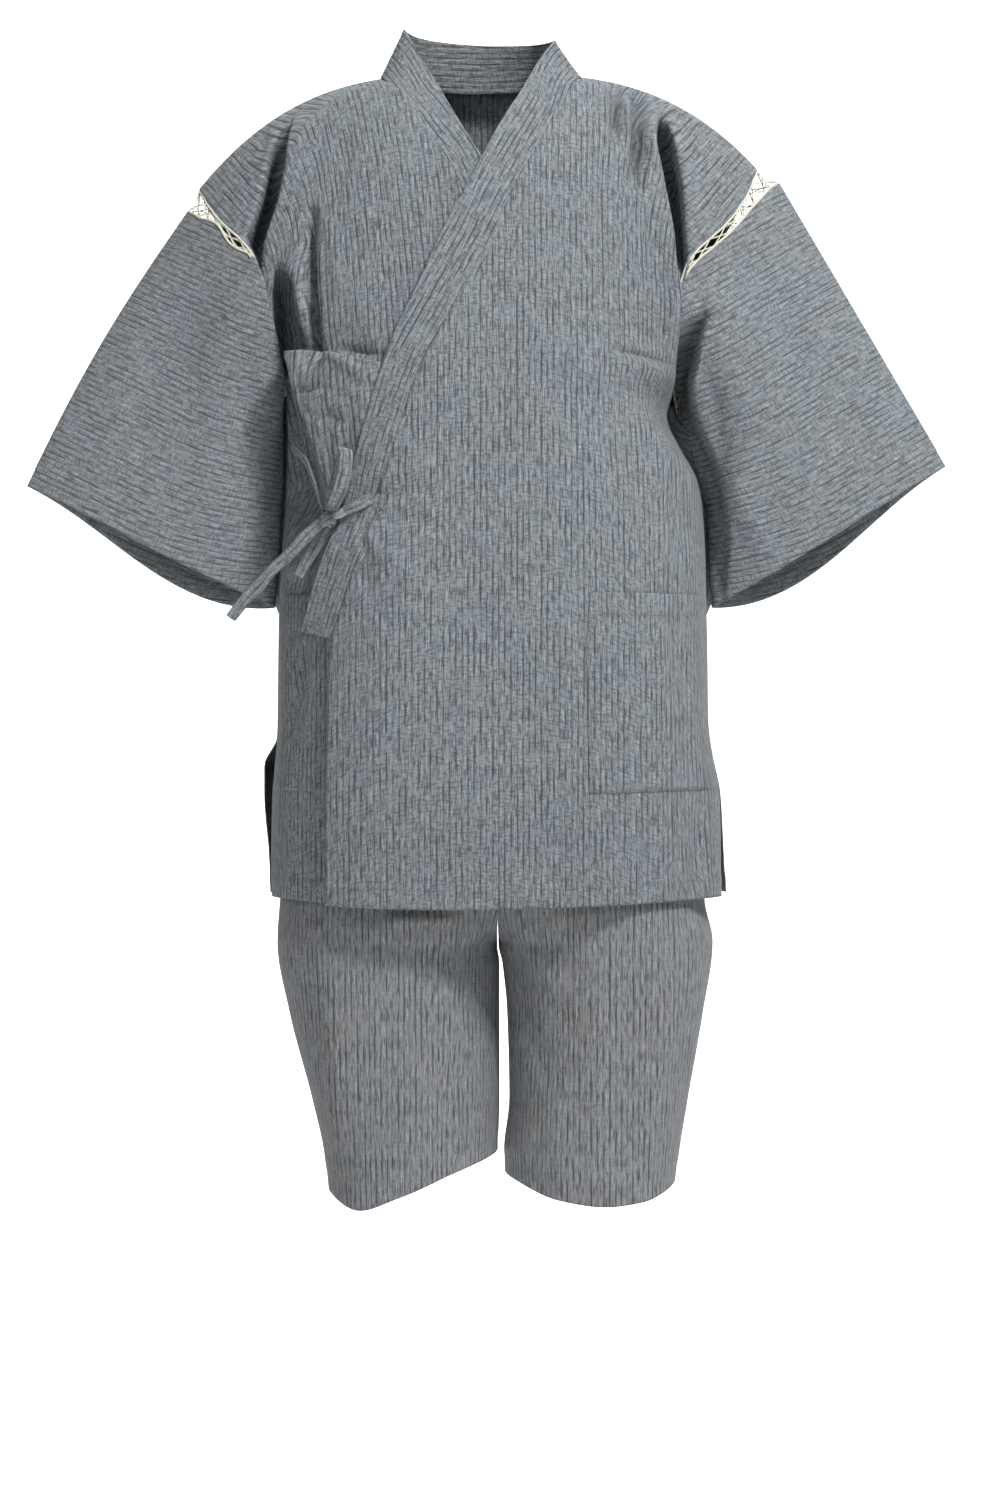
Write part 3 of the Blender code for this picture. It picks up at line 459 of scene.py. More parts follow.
# On the back the drop shoulders' turned threads begin this far out and fade away over these depths.
BACK_TURNS_AT, BACK_TURN_ENDS = {RIGHT: 212, LEFT: 196}, (300, 420)
BACK_CREASES = (
    (-150, -120, -95, -330, 10, -6, 13), (150, -110, 100, -330, -10, -6.5, 13),
    (-172, -180, -150, -360, 8, 6, 10), (160, -170, 146, -350, -8, 6.5, 10),
    (-60, -60, -75, -300, 4, -3.5, 14), (55, -60, 70, -280, -4, -3.5, 14),
    (-120, -400, -70, -640, 6, 4.5, 15), (125, -420, 90, -660, -6, 5, 15),
    (-20, -360, -35, -700, 5, -4, 17), (30, -380, 45, -690, -5, -4, 18),
    (-175, -330, -120, -345, -4, -5, 7), (160, -330, 110, -350, 4, -5, 7),
    (-170, -352, -104, -398, -8, 4, 8), (156, -356, 96, -392, 6, 4, 8), (0, -120, 0, -260, 0, 2.5, 22),
)

u, v = np.meshgrid(np.linspace(-1, 1, BACK_COLUMNS + 1), np.linspace(0, 1, BACK_ROWS + 1), indexing="ij")
turn = np.abs(u) * math.pi / 2


def back_reach(down):
    edge = np.where(u < 0, side_edge(RIGHT, BACK, down)[..., 0], side_edge(LEFT, BACK, down)[..., 0])
    return edge * np.sin(turn)


from_neck = np.clip(np.abs(back_reach(np.zeros(u.shape)) - BACK_NECK_X) / BACK_NECK_HALF, 0, 1)
neck = BACK_NECK_DOWN * np.sqrt(1 - from_neck**2)
down = np.interp(v, (0, 0.06, 1), (0, 0.045, 1)) * HEM_DOWN
down = neck + down * (HEM_DOWN - neck) / HEM_DOWN
x = back_reach(down)
points = body_at(BACK, x, down)
normal = outwards(BACK, x, down)
threads = woven_place(BACK, x, down)
for half in (RIGHT, LEFT):
    soft = blend(60, 30, smooth_step(down / 200))
    fades = 1 - smooth_step((down - BACK_TURN_ENDS[0]) / (BACK_TURN_ENDS[1] - BACK_TURN_ENDS[0]))
    turned = turned_shoulder(half, threads, points, half * x - BACK_TURNS_AT[half], soft)
    threads = np.where((half * x > 0)[..., None], blend(threads, turned, fades[..., None]), threads)
rise = creased(BACK_CREASES, points[..., 0], points[..., 2])
rise += uneven(points[..., 0] + 140, points[..., 2], 1.1)
rise *= smooth_step((np.abs(side_edge(RIGHT, BACK, down)[..., 0]) - np.abs(x)) / 14) * smooth_step(down / 40)
# Behind the underarm the spare width hangs in a rounded fold at each side.
from_side = np.abs(back_reach(down) / np.maximum(np.sin(turn), 1e-6)) - np.abs(x)
hangs = smooth_step((down - 300) / 36) * smooth_step((UNDERARM_FOLD_ENDS - down) / 70)
rise += UNDERARM_FOLD * hangs * smooth_step(from_side / 4) * np.exp(-((from_side / UNDERARM_FOLD_HALF) ** 2))
rise += HEM_STEP * turned_hem(HEM_DOWN - down, HEM_WIDE) + CLOTH_RAISED
back = cloth_shell("back_of_jacket", points + normal * rise[..., None], threads, body_cotton)
back_hem_line = (points + normal * (rise + CLOTH_THICK)[..., None])[4:-4, -6]
give_to_body(back, "blue_grey_cotton", "back")

# ---------------------------------------------------------------- the two fronts
# Two overlapping fronts, the wearer's left one outside. Each dives into a deep fold under the arm, and
# the knot at the wearer's right pulls the inner one up into a pouch folded over itself.

# Where each front turns from the chest to the drop shoulder, and lower down to the side.
TURN_LINES = {
    RIGHT: Table(
        "down x",
        (0, -181), (31, -182), (51, -188), (79, -192.4), (89, -198), (102, -201), (128, -203), (145, -197),
        (161, -189.8), (180, -185.3), (229, -179), (266, -176.5), (300, -173), (312, -169), (340, -163),
        (390, -153.5), (430, -145), (462, -138), (531, -152), (812, -152),
    ),
    LEFT: Table(
        "down x",
        (0, 158), (56, 161), (84, 162.6), (106, 166.8), (130, 170.5), (145, 172), (182, 170), (250, 166),
        (330, 162), (450, 160), (812, 170),
    ),
}
# The deep folds along them: how far back they lie, their half width, and how far the chest's edge
# folds over them. The wearer's right has one above the other.
FOLD_COLUMNS = "down x depth width over"
FOLDS = {
    RIGHT: (
        Table(
            FOLD_COLUMNS,
            (18, -180, 0, 6, 0),
            (31, -182, 5, 6, 0),
            (51, -187.7, 24, 8, 2),
            (63, -190, 42, 8, 4),
            (79, -192.8, 52, 9, 5),
            (89, -197.6, 56, 11.5, 6),
            (102, -201.6, 56, 12, 6),
            (115, -204.4, 52, 9, 6),
            (128, -206.6, 42, 5, 5),
            (146, -206.4, 22, 2.5, 2),
            (160, -206, 0, 2, 0),
        ),
        Table(
            FOLD_COLUMNS,
            (160, -190, 0, 3, 0),
            (170, -188, 20, 4, 2),
            (184, -184.8, 46, 6, 4),
            (201, -181.7, 58, 7, 5),
            (229, -179.4, 64, 8, 5),
            (266, -177.5, 64, 9, 6),
            (290, -177, 56, 9, 3),
            (301, -178, 30, 8, 0),
            (308, -180, 0, 7, 0),
        ),
    ),
    LEFT: (
        Table(
            FOLD_COLUMNS,
            (40, 160, 0, 3, 0),
            (52, 161, 8, 3, 2),
            (64, 161.5, 36, 5.5, 4),
            (84, 162.6, 52, 7.5, 5),
            (95, 164.7, 56, 7.5, 6),
            (106, 166.8, 56, 6.5, 6),
            (120, 169.4, 52, 5.5, 6),
            (130, 171.2, 46, 4.4, 6),
            (145, 173, 36, 3, 5),
            (165, 173.5, 20, 2.2, 3),
            (185, 173, 0, 2, 0),
        ),
    ),
}
FOLD_CLEARS_EDGE = 2.5
# Each fold has a lip on the chest's side and a lower one on the arm's. Both begin within the fold, at
# this share of its width, and grow over this share.
LIP_BEGINS, LIP_GROWS = 0.7, 0.45
CHEST_LIP_FADES, CHEST_LIP_STANDS, ARM_LIP_FADES, ARM_LIP_STANDS, ARM_LIP_COVERS = 30, 4, 14, 1.5, 0.4
# On the wearer's left the chest's edge stands over the sleeve from the lace down.
EDGE_LAPS = Table("down over stands", (140, 0, 0), (180, 3, 4), (230, 4, 7), (300, 3, 7), (345, 0, 0))


def armpit_folds(half, x, down):
    """How far back the armpit's folds lie, how far the chest's edge moves over them and how far it stands."""
    edge = np.abs(side_edge(half, FRONT, down)[..., 0])
    back, over, stands = 0, 0, 0
    for fold in FOLDS[half]:
        covers, wide, depth = (fold.at(name, down) for name in ("over", "width", "depth"))
        past = half * (x - fold.at("x", down))
        aside = past / (wide + covers)
        back = np.maximum(back, depth * np.exp(-(aside**8)))
        beyond = np.abs(past) - 1.15 * (wide + covers)
        lip = smooth_step((np.abs(aside) - LIP_BEGINS) / LIP_GROWS)
        chest = lip * (past < 0) * (1 - smooth_step(beyond / CHEST_LIP_FADES))
        arm = lip * (past > 0) * (1 - smooth_step(beyond / ARM_LIP_FADES))
        arm = arm * smooth_step((edge - np.abs(x) - 1) / 6)
        over = over + covers * (chest - ARM_LIP_COVERS * arm)
        stands = stands + (CHEST_LIP_STANDS * chest + ARM_LIP_STANDS * arm) * np.minimum(depth / 30, 1)
    back = back * smooth_step((edge - np.abs(x)) / FOLD_CLEARS_EDGE)
    if half == LEFT:
        near = smooth_step((14 - (edge - np.abs(x))) / 12)
        over = over + EDGE_LAPS.at("over", down) * near
        stands = stands + EDGE_LAPS.at("stands", down) * near
    return back, over, stands


POUCH_TOP_DOWN, POUCH_KNOT_DOWN = 306, 462
POUCH_LIP_HALF = 12
POUCH_STANDS_OUT, POUCH_LIP_RISE, POUCH_FADES_FROM = 19, 9, 30
POUCH_TILT, POUCH_TILTS_OVER, POUCH_MIDDLE_X = 0.42, 70, -140
OUTER_FRONT_LIFT, INNER_FRONT_DROP = 12, 7


def pouch_tilt(x, down):
    """The pouch's lip lies aslant: how much further down its own rows lie at x."""
    return POUCH_TILT * (x - POUCH_MIDDLE_X) * np.exp(-(((down - POUCH_TOP_DOWN) / POUCH_TILTS_OVER) ** 2))


def pouch(x, down, fold_x):
    """How far the pouch stands out from the wearer's right front, from 0 to 1."""
    below = smooth_step((down - POUCH_TOP_DOWN) / 3)
    fades_from = POUCH_TOP_DOWN + POUCH_FADES_FROM
    fades = 1 - smooth_step((down - fades_from) / (POUCH_KNOT_DOWN - fades_from))
    inside = smooth_step((x - fold_x) / 6)
    # It eases in two steps towards the wearer's middle.
    eases = 1 - 0.45 * smooth_step((x - fold_x) / 70) - 0.55 * smooth_step((x + 105) / 60)
    return below * fades * inside * np.clip(eases, 0, 1)


def wrap_lift(half, x, down):
    """The wearer's left front rises over the right one."""
    if half == LEFT:
        return OUTER_FRONT_LIFT * smooth_step((60 - x) / 180)
    return -INNER_FRONT_DROP * smooth_step((x + 110) / 60) * smooth_step((down - 60) / 120)


def front_surface(half, x, down):
    """The inner face of one front, with its lift, its armpit folds and, on the right, its pouch."""
    x, down = np.broadcast_arrays(np.asarray(x, float), np.asarray(down, float))
    back, over, stands = armpit_folds(half, x, down)
    out = wrap_lift(half, x, down)
    rise = 0
    if half == RIGHT:
        tilted = down - pouch_tilt(x, down)
        rises = pouch(x, tilted, TURN_LINES[half].at("x", down))
        out = out + POUCH_STANDS_OUT * rises
        rise = POUCH_LIP_RISE * rises * np.exp(-(((tilted - POUCH_TOP_DOWN - 3) / POUCH_LIP_HALF) ** 2))
    point = body_at(FRONT, x, down) + outwards(FRONT, x, down) * out[..., None]
    point[..., 0] += half * over
    point[..., 1] += back - stands
    point[..., 2] += rise
    return point


def place_of(half, x, z):
    """The surface's own (x, down) of the points of a front that are seen at (x, z)."""
    own_x, own_z = np.array(x, float), np.array(z, float)
    for _ in range(6):
        low, high = np.zeros(own_x.shape), np.full(own_x.shape, float(HEM_DOWN))
        for _ in range(40):
            down = (low + high) / 2
            above = body_at(FRONT, own_x, down)[..., 2] > own_z
            low, high = np.where(above, down, low), np.where(above, high, down)
        point = front_surface(half, own_x, down)
        own_x, own_z = own_x + x - point[..., 0], own_z + z - point[..., 2]
    return own_x, down


# The band's two edges on each front, from the neck down to the band's end.
BANDS = {
    LEFT: Table(
        "drop seam_x free_x free_drop",
        (49, 66, 31, 23), (72, 55, 18, 45), (94, 43, 6, 67), (136, 21, -16, 111), (174, 3, -36, 149),
        (228, -26, -64, 210), (282, -55, -90, 267), (346, -76, -111, 336), (412, -93, -128, 404),
        (470, -115, -149, 457), (524, -133, -166, 515),
    ),
    RIGHT: Table(
        "drop seam_x free_x free_drop",
        (38, -74, -47, 11), (62, -60, -34, 36), (96, -37, -13, 73), (123, -26, 6, 104), (178, 0, 35, 156),
        (232, 28, 62, 212), (286, 56, 89, 270), (350, 76, 109, 338), (412, 94, 127, 404),
        (470, 111, 143, 461), (524, 126, 158, 515),
    ),
}
NECK_X, NECK_HALF, NECK_BACK, NECK_CLEAR = -5.5, 91, 62.5, 4.5
CLIMB = {
    LEFT: {"seam": (76, -18), "free": (46, -26, 7)},
    RIGHT: {"seam": (-87, -19), "free": (-58, -22, 8)},
}
FREE_EDGE_BELOW_BAND = ((640, 3), (750, 4))


def seam_line(half):
    """Where a front ends in the band, and below the band in its own free edge."""
    band = BANDS[half].rows
    last_x = band[-1, 1]
    seen = [CLIMB[half]["seam"]] + [(x, -drop) for drop, x in band[:, :2]]
    seen += [(last_x - half * inwards, -drop) for drop, inwards in FREE_EDGE_BELOW_BAND]
    x, down = place_of(half, *np.array(seen, float).T)
    rows = np.column_stack([down, x])
    return Table("down x", (0, NECK_X + half * (NECK_HALF + NECK_CLEAR)), *rows, (HEM_DOWN + 30, rows[-1, 1]))


SEAM_LINES = {half: seam_line(half) for half in (LEFT, RIGHT)}

OUTER_CREASES = (
    (112, -262, 170, -272, 0, -5, 3.5), (116, -274, 172, -284, 3, 6.5, 11),
    (132, -306, 190, -380, -6, 4, 9), (150, -300, 196, -352, -6, -3.5, 8),
    (100, -330, 172, -412, -4, -2.5, 12), (118, -8, 116, -66, 2, -19, 5.5),
    (139, -12, 135, -108, 2, -25, 6.5), (102, -92, 99, -152, -2, -2.4, 8),
    (14, -176, -2, -224, -3, -2.6, 12), (-128, -577, -26, -577, 0, -1, 3),
    (-128, -667, -46, -671, 0, -1.1, 3), (95, -682, 94, -758, 0, -1.3, 3), (187, -664, 185, -752, 2, -6, 5),
    (-112, -398, -50, -366, 3, 4, 5), (-108, -404, -44, -388, 2, -3.6, 4.5),
    (-102, -414, -38, -424, 3, -3, 5), (-110, -421, -60, -470, -5, 3, 6),
    (-116, -426, -92, -500, -4, -3.2, 5.5), (-118, -372, -70, -330, 4, -3.4, 6),
    (30, -250, 100, -292, 6, 2.2, 16), (60, -330, 20, -520, 10, 2, 22), (-20, -330, -52, -560, 8, -1.8, 18),
    (140, -400, 168, -560, 6, -2.2, 13), (176, -440, 184, -640, 3, 2.2, 8),
    (-96, -560, -104, -720, 3, 1.6, 11), (40, -560, 62, -740, -4, -1.6, 17),
)
INNER_CREASES = (
    (-158, -136, -154, -266, -4, -27, 5.5), (-160, -226, -158, -276, -1, -13, 8),
    (-182, -188, -163, -250, 0, 5, 5), (-166, -120, -160, -186, 3, 3, 6),
    (-140, -150, -134, -250, 3, 2.6, 8), (-128, -60, -138, -128, 3, -2.2, 9),
    (-96, -90, -104, -220, 4, -1.8, 12), (-120, -212, -92, -276, 4, 2, 10),
    (-152, -322, -120, -331, 2, -4, 4), (-138, -268, -99, -288, -2, 4.5, 4.5),
    (-130, -261, -92, -269, 0, -5, 3.5), (-128, -330, -134, -396, -2, 3.2, 6),
    (-118, -312, -126, -388, -3, -3, 5), (-160, -300, -146, -380, 4, 2.6, 6),
    (-160, -516, -176, -606, 2, -7, 5), (-174, -440, -162, -512, 5, -3, 7),
    (-176, -395, -158, -455, -5, 3, 7), (-186, -470, -184, -640, 2, 2, 6),
)
FRONT_CREASES = {LEFT: OUTER_CREASES, RIGHT: INNER_CREASES}


# Between the pouch and the side the cloth goes straight back to the side seam: by this part of its depth.
DRAWN_IN = Table(
    "down part", (296, 0), (312, 0.8), (340, 0.94), (420, 0.92), (456, 0.7), (500, 0.3), (560, 0)
)
DRAWN_IN_OVER = 9
POUCH_BORDER_STANDS = 2.5
# Beside the wearer's left slit the front's edge spreads sideways over the back's.
SLIT_SPREADS, SPREADS_DOWN, SPREADS_GROWS, SPREADS_OVER = 8, 640, 90, 30


def hanging_front(half, x, down, out=0.0):
    """A front with its creases, its swells and whatever lies "out" on it."""
    points = front_surface(half, x, down)
    rise = creased(FRONT_CREASES[half], points[..., 0], points[..., 2])
    rise += uneven(points[..., 0] + 31 * half, points[..., 2], 0.9)
    past = half * (x - TURN_LINES[half].at("x", down))
    edge = np.abs(side_edge(half, FRONT, down)[..., 0])
    rise *= smooth_step((edge - np.abs(x) + 3) / 12) * smooth_step(down / 30)
    if half == RIGHT:
        part = DRAWN_IN.at("part", down)
        behind = part * smooth_step((past + 1) / DRAWN_IN_OVER)
        rise = rise * (1 - behind)
        points[..., 1] *= 1 - behind
        rise += POUCH_BORDER_STANDS * np.exp(-(((past + 6) / 4) ** 2)) * part
    else:
        spreads = smooth_step(1 - (edge - np.abs(x)) / SPREADS_OVER)
        points[..., 0] += SLIT_SPREADS * smooth_step((down - SPREADS_DOWN) / SPREADS_GROWS) * spreads
    return points + outwards(FRONT, x, down) * (rise + out)[..., None]


# Where the drop shoulder's turned threads begin on each front.
SHOULDER_LINES = {
    RIGHT: Table(
        "down x",
        (0, -181), (31, -182), (51, -188), (79, -192), (102, -201), (128, -207), (150, -218), (200, -240),
    ),
    LEFT: Table(
        "down x", (0, 158), (56, 161), (84, 163), (106, 167), (130, 171), (150, 178), (182, 186), (260, 210)
    ),
}
# The knot pulls the inner front's warp aslant, down to its own height.
WARP_SLANTS = {RIGHT: 0.16, LEFT: 0.0}


def front_threads(half, x, down):
    """The place on the flat cloth of a front, with its slant and its turned drop shoulder."""
    threads = woven_place(FRONT, x, down)
    threads[..., 0] -= WARP_SLANTS[half] * POUCH_KNOT_DOWN * (1 - np.exp(-threads[..., 1] / POUCH_KNOT_DOWN))
    past = half * (x - SHOULDER_LINES[half].at("x", down))
    soft = blend(60, 7, smooth_step(down / 110))
    return turned_shoulder(half, threads, body_at(FRONT, x, down), past, soft)


UNDER_THE_BAND = -6
FRONT_INNER_COLUMNS, FRONT_OUTER_COLUMNS = 104, 38
FRONT_DOWNS = np.concatenate([
    np.linspace(0, 296, 78)[:-1],
    np.linspace(296, 316, 17)[:-1],
    np.linspace(316, HEM_DOWN - HEM_WIDE - 1, 104)[:-1],
    np.linspace(HEM_DOWN - HEM_WIDE - 1, HEM_DOWN - HEM_WIDE + 1, 3)[:-1],
    np.linspace(HEM_DOWN - HEM_WIDE + 1, HEM_DOWN, 7),
])
q = np.linspace(0, 1, FRONT_INNER_COLUMNS + 1)
inner_steps = 1 - (1 - q) ** 1.35
q = np.linspace(0, 1, FRONT_OUTER_COLUMNS + 1)
outer_steps = q**1.25

for half, side in SIDES_NAMED.items():
    down = np.tile(FRONT_DOWNS, (FRONT_INNER_COLUMNS + FRONT_OUTER_COLUMNS + 1, 1))
    reach = side_edge(half, FRONT, down)[..., 0]
    start = np.arcsin((SEAM_LINES[half].straight("x", down) + half * UNDER_THE_BAND) / reach)
    fold = np.arcsin(TURN_LINES[half].at("x", down) / reach)
    steps = np.concatenate([inner_steps, outer_steps[1:] + 1])[:, None]
    turn = np.where(steps <= 1, blend(start, fold, steps), blend(fold, math.pi / 2, steps - 1))
    x = reach * np.sin(turn)
    if half == RIGHT:
        down = down + pouch_tilt(x, down) * smooth_step((40 - x) / 60)
    step = HEM_STEP * turned_hem(HEM_DOWN - down, HEM_WIDE)
    points = hanging_front(half, x, down, CLOTH_RAISED + step)
    threads = front_threads(half, x, down)
    if half == LEFT:
        points, threads = points[:, ::-1], threads[:, ::-1]
    else:
        # Behind the pouch the threads are counted along the cloth itself from where it turns back.
        run = lengths_along(points, 0)
        own = threads[FRONT_INNER_COLUMNS, :, 0] + run[FRONT_INNER_COLUMNS] - run
        part = smooth_step((down - 296) / 24) * (steps >= 1)
        threads[..., 0] = blend(threads[..., 0], own, part)
    front = cloth_shell("front_" + side + "_panel", points, threads, body_cotton)
    give_to_body(front, "blue_grey_cotton", "front_" + side)

# ---------------------------------------------------------------- the pockets
# A patch pocket low on each front, its sides and bottom stitched down and its mouth left open.

INNER_STEPS = (0, 0.16, 0.32, 0.47, 0.6, 0.7, 0.8, 0.89, 0.955, 1)
OUTER_STEPS = (0, 0.1, 0.26, 0.5, 0.76, 1)
POCKET_COLUMNS = (5, 12)
POCKET_DOWNS = (531, 711)
BAND_GAP = 1.0
POCKET_BULGE, POCKET_HEM, POCKET_THICK = 1.6, 22, 0.5
POCKET_CUT_FROM = (1.4, 47.0)
ON_CLOTH = CLOTH_RAISED + CLOTH_THICK + 0.1


def front_column(half, column, down):
    """The (x, down) of the front's own columns, counted from the band outwards."""
    reach = side_edge(half, FRONT, down)[..., 0]
    last = len(INNER_STEPS) - 1
    start = np.arcsin((SEAM_LINES[half].straight("x", down) + half * BAND_GAP) / reach)
    fold = np.arcsin(TURN_LINES[half].at("x", down) / reach)
    near = blend(start, fold, fractions(column / last, INNER_STEPS))
    far = blend(fold, math.pi / 2, fractions((column - last) / (len(OUTER_STEPS) - 1), OUTER_STEPS))
    return reach * np.sin(np.where(column <= last, near, far))


def pocket_x(half, across, down):
    near, far = (front_column(half, np.float64(column), down) for column in POCKET_COLUMNS)
    return blend(near, far, across)


for half, side in SIDES_NAMED.items():
    across, down = np.meshgrid(np.linspace(0, 1, 61), np.linspace(*POCKET_DOWNS, 73), indexing="ij")
    x = pocket_x(half, across, down)
    along = (down - POCKET_DOWNS[0]) / (POCKET_DOWNS[1] - POCKET_DOWNS[0])
    bulge = POCKET_BULGE * np.sin(math.pi * across) ** 0.6 * np.sin(math.pi * blend(0.25, 1, along)) ** 0.6
    hem = HEM_STEP * turned_hem(down - POCKET_DOWNS[0], POCKET_HEM)
    points = hanging_front(half, x, down, ON_CLOTH + bulge + hem)
    threads = woven_place(FRONT, x, down) + np.array(POCKET_CUT_FROM)
    if half == LEFT:
        points, threads = points[:, ::-1], threads[:, ::-1]
    pocket = cloth_shell("pocket_" + side + "_patch", points, threads, body_cotton, thick=POCKET_THICK)
    give_to_body(pocket, "blue_grey_cotton", "pocket_" + side)

# ---------------------------------------------------------------- the band
# A long folded strip of the same cloth that edges both fronts and stands round the neck, sewn on
# along its outer edge with its fold towards the neck.

COLLAR_X, COLLAR_HALF, COLLAR_BACK = -7, 68, 58
COLLAR_TOP = {RIGHT: 41, LEFT: 31}
NECK_SIDE_DROP, NECK_BACK_DROP, COLLAR_LEANS = 3.5, 5, 3
NECK_STATIONS = 7
BAND_THICK = 2.0
BAND_RIDES = 1.3
BAND_ROWS, BAND_COLUMNS = 16, 420


def band_edges():
    """The band's stations, from the end of the outer front, round the neck, to the inner front's end."""
    seam, free = [], []
    for half in (LEFT, RIGHT):
        drop, seam_x, free_x, free_drop = BANDS[half].rows.T
        on_seam = front_surface(half, *place_of(half, seam_x, -drop))
        on_free = front_surface(half, *place_of(half, free_x, -free_drop))
        climb = CLIMB[half]
        seam_start = front_surface(half, *place_of(half, *np.array(climb["seam"], float)))
        on_seam = np.vstack([seam_start, on_seam])
        on_free = np.vstack([np.array(climb["free"], float), on_free])
        order = slice(None, None, -1) if half == LEFT else slice(None)
        seam += list(on_seam[order])
        free += list(on_free[order])
        if half == LEFT:
            for i in range(NECK_STATIONS):
                turn = math.pi * i / (NECK_STATIONS - 1)
                c, s = math.cos(turn), math.sin(turn)
                top = blend(COLLAR_TOP[LEFT], COLLAR_TOP[RIGHT], i / (NECK_STATIONS - 1))
                seam.append((NECK_X + NECK_HALF * c, NECK_BACK * s, -NECK_SIDE_DROP - NECK_BACK_DROP * s))
                free.append((COLLAR_X + COLLAR_HALF * c, COLLAR_BACK * s - COLLAR_LEANS, top))
    return np.array(seam, float), np.array(free, float)


def through(stations, t):
    """A smooth line through the stations, t from 0 to 1."""
    table = Table("i x y z", *np.column_stack([np.arange(len(stations)), stations]))
    place = t * (len(stations) - 1)
    return np.stack([table.at(name, place) for name in "xyz"], axis=-1)


seam, free = band_edges()
t, w = np.meshgrid(np.linspace(0, 1, BAND_COLUMNS + 1), np.linspace(0, 1, BAND_ROWS + 1), indexing="ij")
start, end = through(seam, t), through(free, t)
points = blend(start, end, w[..., None])
normal = -normals_of(points)
wide = np.linalg.norm(end - start, axis=-1)
middle_run = lengths_along(points, 0)[:, BAND_ROWS // 2][:, None] + 0 * w
threads = np.stack([w * wide, middle_run], axis=-1)
on_front = smooth_step(-(points[..., 2] + 30) / 40)
pull = creased(OUTER_CREASES, points[..., 0], points[..., 2]) * np.where(t < 0.5, 1, 0) * on_front
ripples = 0.35 * np.sin(middle_run / 9 + 2 * np.sin(middle_run / 47)) * np.sin(math.pi * w)
crown = 0.8 * np.sin(math.pi * w) ** 0.5
rides = blend(BAND_RIDES, 0.3, smooth_step(w / 0.3)) * on_front + 0.2
points = points + normal * (rides + crown * 0.6 + ripples + 0.8 * pull)[..., None]
band = cloth_shell("neck_band", points, threads, body_cotton, thick=BAND_THICK)
round_edges = band.modifiers.new("rounded edges", "BEVEL")
round_edges.width = 0.7 * MM
round_edges.segments = 2
round_edges.limit_method = "ANGLE"
round_edges.angle_limit = math.radians(60)
give_to_body(band, "blue_grey_cotton", "collar_band")

# ---------------------------------------------------------------- the sleeves
# Wide short sleeves in one piece each, folded along the top, their threads running round the arm.

SLEEVES = {
    RIGHT: {
        "axis": (-0.49, 0, -0.87),
        "cuff_top": (-422, -10, -379),
        "opens": (0, 0, 0),
        "bows": (-6, 0, 3.5),
        "under": Table(
            "t x z", (0, -189, -310), (0.3, -188, -365), (0.65, -191, -430), (1, -195, -490)
        ),
    },
    LEFT: {
        "axis": (0.51, 0, -0.86),
        "cuff_top": (421, -10, -361),
        "opens": (9, 0, 8),
        "bows": (0, 0, 0),
        "under": Table(
            "t x z",
            (0, 175, -312), (0.25, 187, -352), (0.5, 201.5, -396), (0.75, 204.5, -443), (1, 207, -490),
        ),
    },
}
LACE_WIDTH = Table(
    "w front back", (0, 23, 23), (0.12, 17, 22), (0.3, 9, 19), (0.5, 9, 16), (0.8, 14, 14), (1, 14, 13)
)
LACE_OPENS_OVER = 0.3
SLEEVE_HEAD_REACH = 58
CUFF_REACH = {FRONT: 42, BACK: 50}
CUFF_HANG = {FRONT: 2, BACK: 22}
SLEEVE_HALF_GAP = 0.8
HEAD_EASES_BY = 0.45


def sleeve_head(half, face, w):
    """The sleeve's upper edge: the armhole moved down the arm by the lace's width."""
    sleeve = SLEEVES[half]
    width = LACE_WIDTH.at(FACES_NAMED[face], w)
    opens = (1 - smooth_step(w / LACE_OPENS_OVER))[..., None] * np.array(sleeve["opens"], float)
    return armhole(half, face, w) + np.array(sleeve["axis"]) * width[..., None] + opens


def sleeve_surface(half, face, w, t):
    """The sleeve's inner face; w from the upper fold to the lower one, t from the head to the cuff."""
    sleeve = SLEEVES[half]
    head = sleeve_head(half, face, w)
    head_top = sleeve_head(half, face, np.zeros(1))[0]
    head_under = sleeve_head(half, face, np.ones(1))[0]
    top = blend(head_top, np.array(sleeve["cuff_top"], float), t[..., None])
    top += np.sin(math.pi * t)[..., None] * np.array(sleeve["bows"], float)
    under = stack(sleeve["under"].at("x", t), 4 * t, sleeve["under"].at("z", t))
    ring = blend(top, under, w[..., None])
    swell = w**0.75 * (1 - w) ** 0.5 / 0.55
    ring[..., 1] += face * (blend(SLEEVE_HEAD_REACH, CUFF_REACH[face], t) * swell + SLEEVE_HALF_GAP)
    # The hang is greatest two thirds of the way round, where 6.75 w^2 (1 - w) is 1.
    hang = 6.75 * w**2 * (1 - w) * t * CUFF_HANG[face]
    ring += np.array(sleeve["axis"]) * hang[..., None]
    straight = blend(head_top, head_under, w[..., None])
    eases = 1 - smooth_step(t / HEAD_EASES_BY)
    ring += (head - straight) * eases[..., None]
    ring[..., 1] -= face * (SLEEVE_HEAD_REACH * swell + SLEEVE_HALF_GAP) * eases
    return ring


# In front the lace is drawn shut in places, and below them the sleeve's edge lies over it.
LACE_SHOWS = {
    RIGHT: Table("w wide", (0, 23), (0.07, 16), (0.17, 4.5), (0.24, 10), (0.32, 3), (0.37, 0), (1, 0)),
    LEFT: Table(
        "w wide", (0, 23), (0.08, 14), (0.17, 9.5), (0.35, 8), (0.46, 4), (0.53, 1), (0.58, 0), (1, 0)
    ),
}
SLEEVE_LIES_OVER = 4.5


